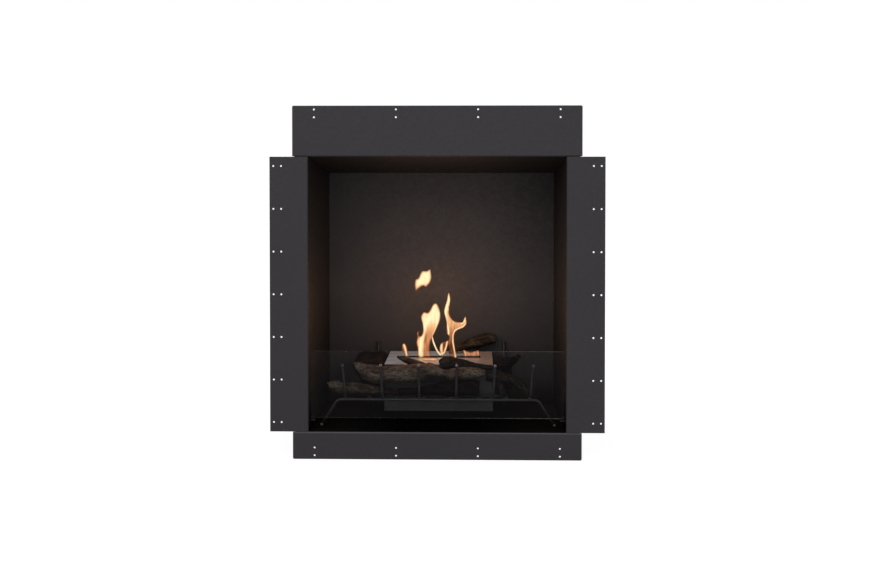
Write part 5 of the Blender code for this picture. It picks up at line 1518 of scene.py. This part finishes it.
def build_flame(name, seed, sizes, material):
    """A thin lens of fire inside an outline, brightest along its strands."""
    pitch = sizes.flame_pitch * (FLAME_THREAD_PITCH if name == "flame_thread" else 1.0)
    outline = smooth_outline(FLAME_OUTLINES[name], pitch * FLAME_RIM_PITCH)
    made, triangles, on_rim = flame_net(outline, pitch)
    room = distance_to_outline(made, outline)
    room[on_rim] = 0.0
    strand_heat = heat_of_strands(made, FLAME_STRANDS.get(name, ()))
    thickness, is_low = sizes.flame_thickness, name == "flame_low"
    middle_y = depth_y(LOW_FLAME_DEPTH if is_low else sizes.flame_depth)
    points, heat, cover, twins = [], [], [], []
    for face_side in (-1, 1):
        for index, (point, gap) in enumerate(zip(made, room)):
            if face_side == 1:
                twins.append(index if on_rim[index] else len(points))
                if on_rim[index]:
                    continue
            bulge = thickness * (1.0 - math.exp(-gap / (thickness * FLAME_ROUNDING)))
            sway = math.sin(point.y * FLAME_SWAY_WAVES + seed * 1.9)
            sway = 0.0 if is_low else sizes.flame_sway * sway
            points.append((point.x, middle_y + sway + face_side * bulge, point.y))
            heat.append(flame_heat(name, seed, point, gap, strand_heat[index]))
            cover.append(flame_cover(name, point, gap))
    faces = [tuple(face) for face in triangles]
    faces += [tuple(twins[corner] for corner in reversed(face)) for face in triangles]
    obj = new_piece(name, points, [face for face in faces if len(set(face)) == len(face)],
                    material)
    work = bmesh.new()
    work.from_mesh(obj.data)
    bmesh.ops.recalc_face_normals(work, faces=work.faces)
    work.to_mesh(obj.data)
    work.free()
    store(obj, "warmth", heat)
    store(obj, "cover", cover)
    obj.visible_shadow = False
    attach(obj, "housing")
    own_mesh(obj)


def add_lamp(name, kind, place, target, power, size, colour=WHITE):
    """A lamp that shines from a place to a target."""
    data = bpy.data.lights.new(name, kind)
    data.energy = power
    data.color = colour
    if kind == 'AREA':
        data.shape = 'RECTANGLE'
        data.size, data.size_y = size
    else:
        data.shadow_soft_size = size
    lamp = bpy.data.objects.new(name, data)
    lamp.location = place
    lamp.rotation_mode = 'QUATERNION'
    lamp.rotation_quaternion = (Vector(target) - lamp.location).to_track_quat('-Z', 'Y')
    bpy.context.scene.collection.objects.link(lamp)
    return lamp


def build_floor(stage, colours):
    """The round pale floor under the object."""
    work = bmesh.new()
    bmesh.ops.create_circle(work, cap_ends=True, segments=FLOOR_SIDES, radius=stage.floor_radius)
    mesh = bpy.data.meshes.new("floor")
    work.to_mesh(mesh)
    work.free()
    mesh.materials.append(plain_floor("plain_floor", colours.floor, stage.floor_shade))
    floor = bpy.data.objects.new("floor", mesh)
    floor.location.z = CAD_LOW.z - FLOOR_DROP
    bpy.context.scene.collection.objects.link(floor)


def build_world(stage):
    """Even light all round, that looks white itself."""
    world = bpy.data.worlds.new("plain_white")
    world.use_nodes = True
    bpy.context.scene.world = world
    graph = Graph(world.node_tree)
    strength = graph.add("ShaderNodeMix", {0: graph.background_share(), 2: stage.sky, 3: 1.0})
    backdrop = world.node_tree.nodes["Background"]
    graph.feed(backdrop, "Color", (*WHITE, 1.0))
    graph.feed(backdrop, "Strength", strength.outputs[0])


def build_camera(stage):
    """The camera that took the photograph, as it was solved."""
    camera = bpy.data.cameras.new("camera")
    camera.lens = stage.focal_length
    camera.shift_y = stage.camera_shift
    eye = bpy.data.objects.new("camera", camera)
    eye.location = (stage.camera_side, FRONT_Y - stage.camera_distance, stage.camera_height)
    eye.rotation_euler = (math.pi / 2 - stage.camera_pitch, 0.0, stage.camera_turn)
    bpy.context.scene.collection.objects.link(eye)
    bpy.context.scene.camera = eye


class FIREBOX_OT_stage(bpy.types.Operator):
    """Set up the floor, the white surroundings, the lamps and the camera"""

    bl_idname = "firebox.stage"
    bl_label = "Stage"

    def execute(self, context):
        stage = context.scene.firebox_stage
        build_floor(stage, context.scene.firebox_colours)
        build_world(stage)
        target_x, target_depth, target_z = LAMP_TARGET
        for name, x, depth, z, length, height in LAMPS:
            add_lamp(name + "_lamp", 'AREA', (x, depth_y(depth), z),
                     (target_x, depth_y(target_depth), target_z),
                     getattr(stage, name + "_power"), (length, height))
        build_camera(stage)
        context.scene.view_settings.view_transform = 'Standard'
        return {'FINISHED'}


class FIREBOX_OT_panels(bpy.types.Operator):
    """Paint the flanged panels, the back panel, the casing and the rails"""

    bl_idname = "firebox.panels"
    bl_label = "Panels and Casing"

    def execute(self, context):
        colours = context.scene.firebox_colours
        # The panels' inside paint carries painted shade; the sill also a painted highlight
        coat = powder_coat("charcoal_powder_coat", colours.flange, colours.chamber)
        for node in ("side_panel_left", "side_panel_right", "top_panel"):
            paint(node, coat)
        paint("bottom_panel", powder_coat("sill_powder_coat", colours.flange, colours.chamber,
                                          True))
        paint("back_panel", powder_coat("chamber_black_paint", colours.back, colours.back))
        black = powder_coat("casing_powder_coat", colours.casing)
        for node in NODES:
            if node.startswith(("casing_", "base_rail")) and "screw" not in node:
                paint(node, black)
        build_casing_base(context.scene.firebox_sizes, black)
        return {'FINISHED'}


class FIREBOX_OT_fasteners(bpy.types.Operator):
    """Plate the spacers and replace the four casing screws"""

    bl_idname = "firebox.fasteners"
    bl_label = "Spacers and Screws"

    def execute(self, context):
        zinc = zinc_plate("zinc_plated_steel", context.scene.firebox_colours.zinc)
        for node in NODES:
            if "spacer" in node:
                paint(node, zinc)
        build_screws(context.scene.firebox_sizes, zinc)
        return {'FINISHED'}


class FIREBOX_OT_glass(bpy.types.Operator):
    """Clear the glass screen and finish its clips and pins"""

    bl_idname = "firebox.glass"
    bl_label = "Glass Screen"

    def execute(self, context):
        colours = context.scene.firebox_colours
        paint("glass_screen", clear_glass("ground_edge_glass", colours.glass, colours.glass_rim))
        clip = stove_enamel("clip_enamel", colours.enamel, 0.06)
        pin = stove_enamel("dark_pin_steel", colours.pin, 0.08)
        for side in ("left", "right"):
            paint("glass_clip_" + side, clip)
            paint("glass_clip_pin_" + side, pin)
        return {'FINISHED'}


class FIREBOX_OT_burner(bpy.types.Operator):
    """Finish the burner's tank, top plate, wick, damper, guides and stand"""

    bl_idname = "firebox.burner"
    bl_label = "Burner"

    def execute(self, context):
        colours = context.scene.firebox_colours
        plate = brushed_steel("brushed_burner_plate", colours.stainless)
        for node in ("burner_top_plate", "damper_plate", "damper_guide_left",
                     "damper_guide_right"):
            paint(node, plate)
        paint("burner_tank", powder_coat("burner_black_paint", colours.tank))
        # Painted shade: the stand is kept far darker than the tank so that it stays in the shade
        # under the burner
        paint("burner_stand", stove_enamel("stand_enamel", scaled(colours.tank, 0.2), 0.0))
        paint("burner_wick", wool_felt("ceramic_wool_felt", colours.wool))
        return {'FINISHED'}


class FIREBOX_OT_grate(bpy.types.Operator):
    """Replace the grate's rods with smooth enamelled ones, welded together"""

    bl_idname = "firebox.grate"
    bl_label = "Log Grate"

    def execute(self, context):
        sizes, colours = context.scene.firebox_sizes, context.scene.firebox_colours
        enamel = stove_enamel("grate_enamel", colours.enamel, 0.12)
        # The feet and the tines' balls get lighter steel: painted highlights, and wear on the
        # balls
        build_grate_frame(sizes, enamel,
                          stove_enamel("worn_foot_steel", scaled(colours.ball, 0.6), 0.3))
        build_tines(sizes, enamel, stove_enamel("worn_ball_steel", colours.ball, 0.5),
                    stove_enamel("dull_ball_steel", scaled(colours.ball, 0.35), 0.2))
        return {'FINISHED'}


class FIREBOX_OT_logs(bpy.types.Operator):
    """Replace the eight plain logs with barked, cracked and knotted ones"""

    bl_idname = "firebox.logs"
    bl_label = "Ceramic Logs"

    def execute(self, context):
        bark = weathered_bark("weathered_bark", context.scene.firebox_colours)
        for seed, log in enumerate(LOG_LIMBS, 1):
            build_log(log, seed, context.scene.firebox_sizes, bark)
        return {'FINISHED'}


class FIREBOX_OT_flames(bpy.types.Operator):
    """Light the burner with thin flames"""

    bl_idname = "firebox.flames"
    bl_label = "Flames"

    def execute(self, context):
        stage, colours = context.scene.firebox_stage, context.scene.firebox_colours
        fire = flame_glow("flame_glow", colours)
        for seed, name in enumerate(FLAME_OUTLINES, 1):
            build_flame(name, seed, context.scene.firebox_sizes, fire)
        place = Vector((stage.glow_side, depth_y(stage.glow_depth), stage.glow_height))
        glow = add_lamp("flame_light", 'POINT', place, place + Vector((0, 1, 0)),
                        stage.glow_power, stage.glow_radius, colours.glow)
        # The burner and damper take no light from this lamp; the plate's warm light is painted
        # into its finish
        lit = bpy.data.collections.new("lit_by_flame_light")
        for obj in context.scene.objects:
            if obj.type == 'MESH' and not obj.name.startswith(("burner", "damper", "floor")):
                lit.objects.link(obj)
        glow.light_linking.receiver_collection = lit
        return {'FINISHED'}


BUILD_STEPS = (FIREBOX_OT_stage, FIREBOX_OT_panels, FIREBOX_OT_fasteners, FIREBOX_OT_glass,
               FIREBOX_OT_burner, FIREBOX_OT_grate, FIREBOX_OT_logs, FIREBOX_OT_flames)


class FIREBOX_PT_dressing(bpy.types.Panel):
    """Buttons for each step of the dressing"""

    bl_label = "Firebox"
    bl_idname = "FIREBOX_PT_dressing"
    bl_space_type = 'VIEW_3D'
    bl_region_type = 'UI'
    bl_category = "Firebox"

    def draw(self, context):
        for step in BUILD_STEPS:
            self.layout.operator(step.bl_idname)


SETTINGS = (("firebox_colours", FireboxColours), ("firebox_sizes", FireboxSizes),
            ("firebox_stage", FireboxStage))


def register():
    """Register the settings, the operators and the panel."""
    for name, group in SETTINGS:
        bpy.utils.register_class(group)
        setattr(bpy.types.Scene, name, PointerProperty(type=group))
    for part in (*BUILD_STEPS, FIREBOX_PT_dressing):
        bpy.utils.register_class(part)


def unregister():
    """Remove the panel, the operators and the settings."""
    for part in (FIREBOX_PT_dressing, *reversed(BUILD_STEPS)):
        bpy.utils.unregister_class(part)
    for name, group in reversed(SETTINGS):
        delattr(bpy.types.Scene, name)
        bpy.utils.unregister_class(group)


def main():
    """Build the dressed firebox."""
    register()
    for step in BUILD_STEPS:
        operator = getattr(bpy.ops.firebox, step.bl_idname.split(".")[1])
        if operator() != {'FINISHED'}:
            raise RuntimeError(step.bl_label + " did not finish")


if __name__ == "__main__":
    main()
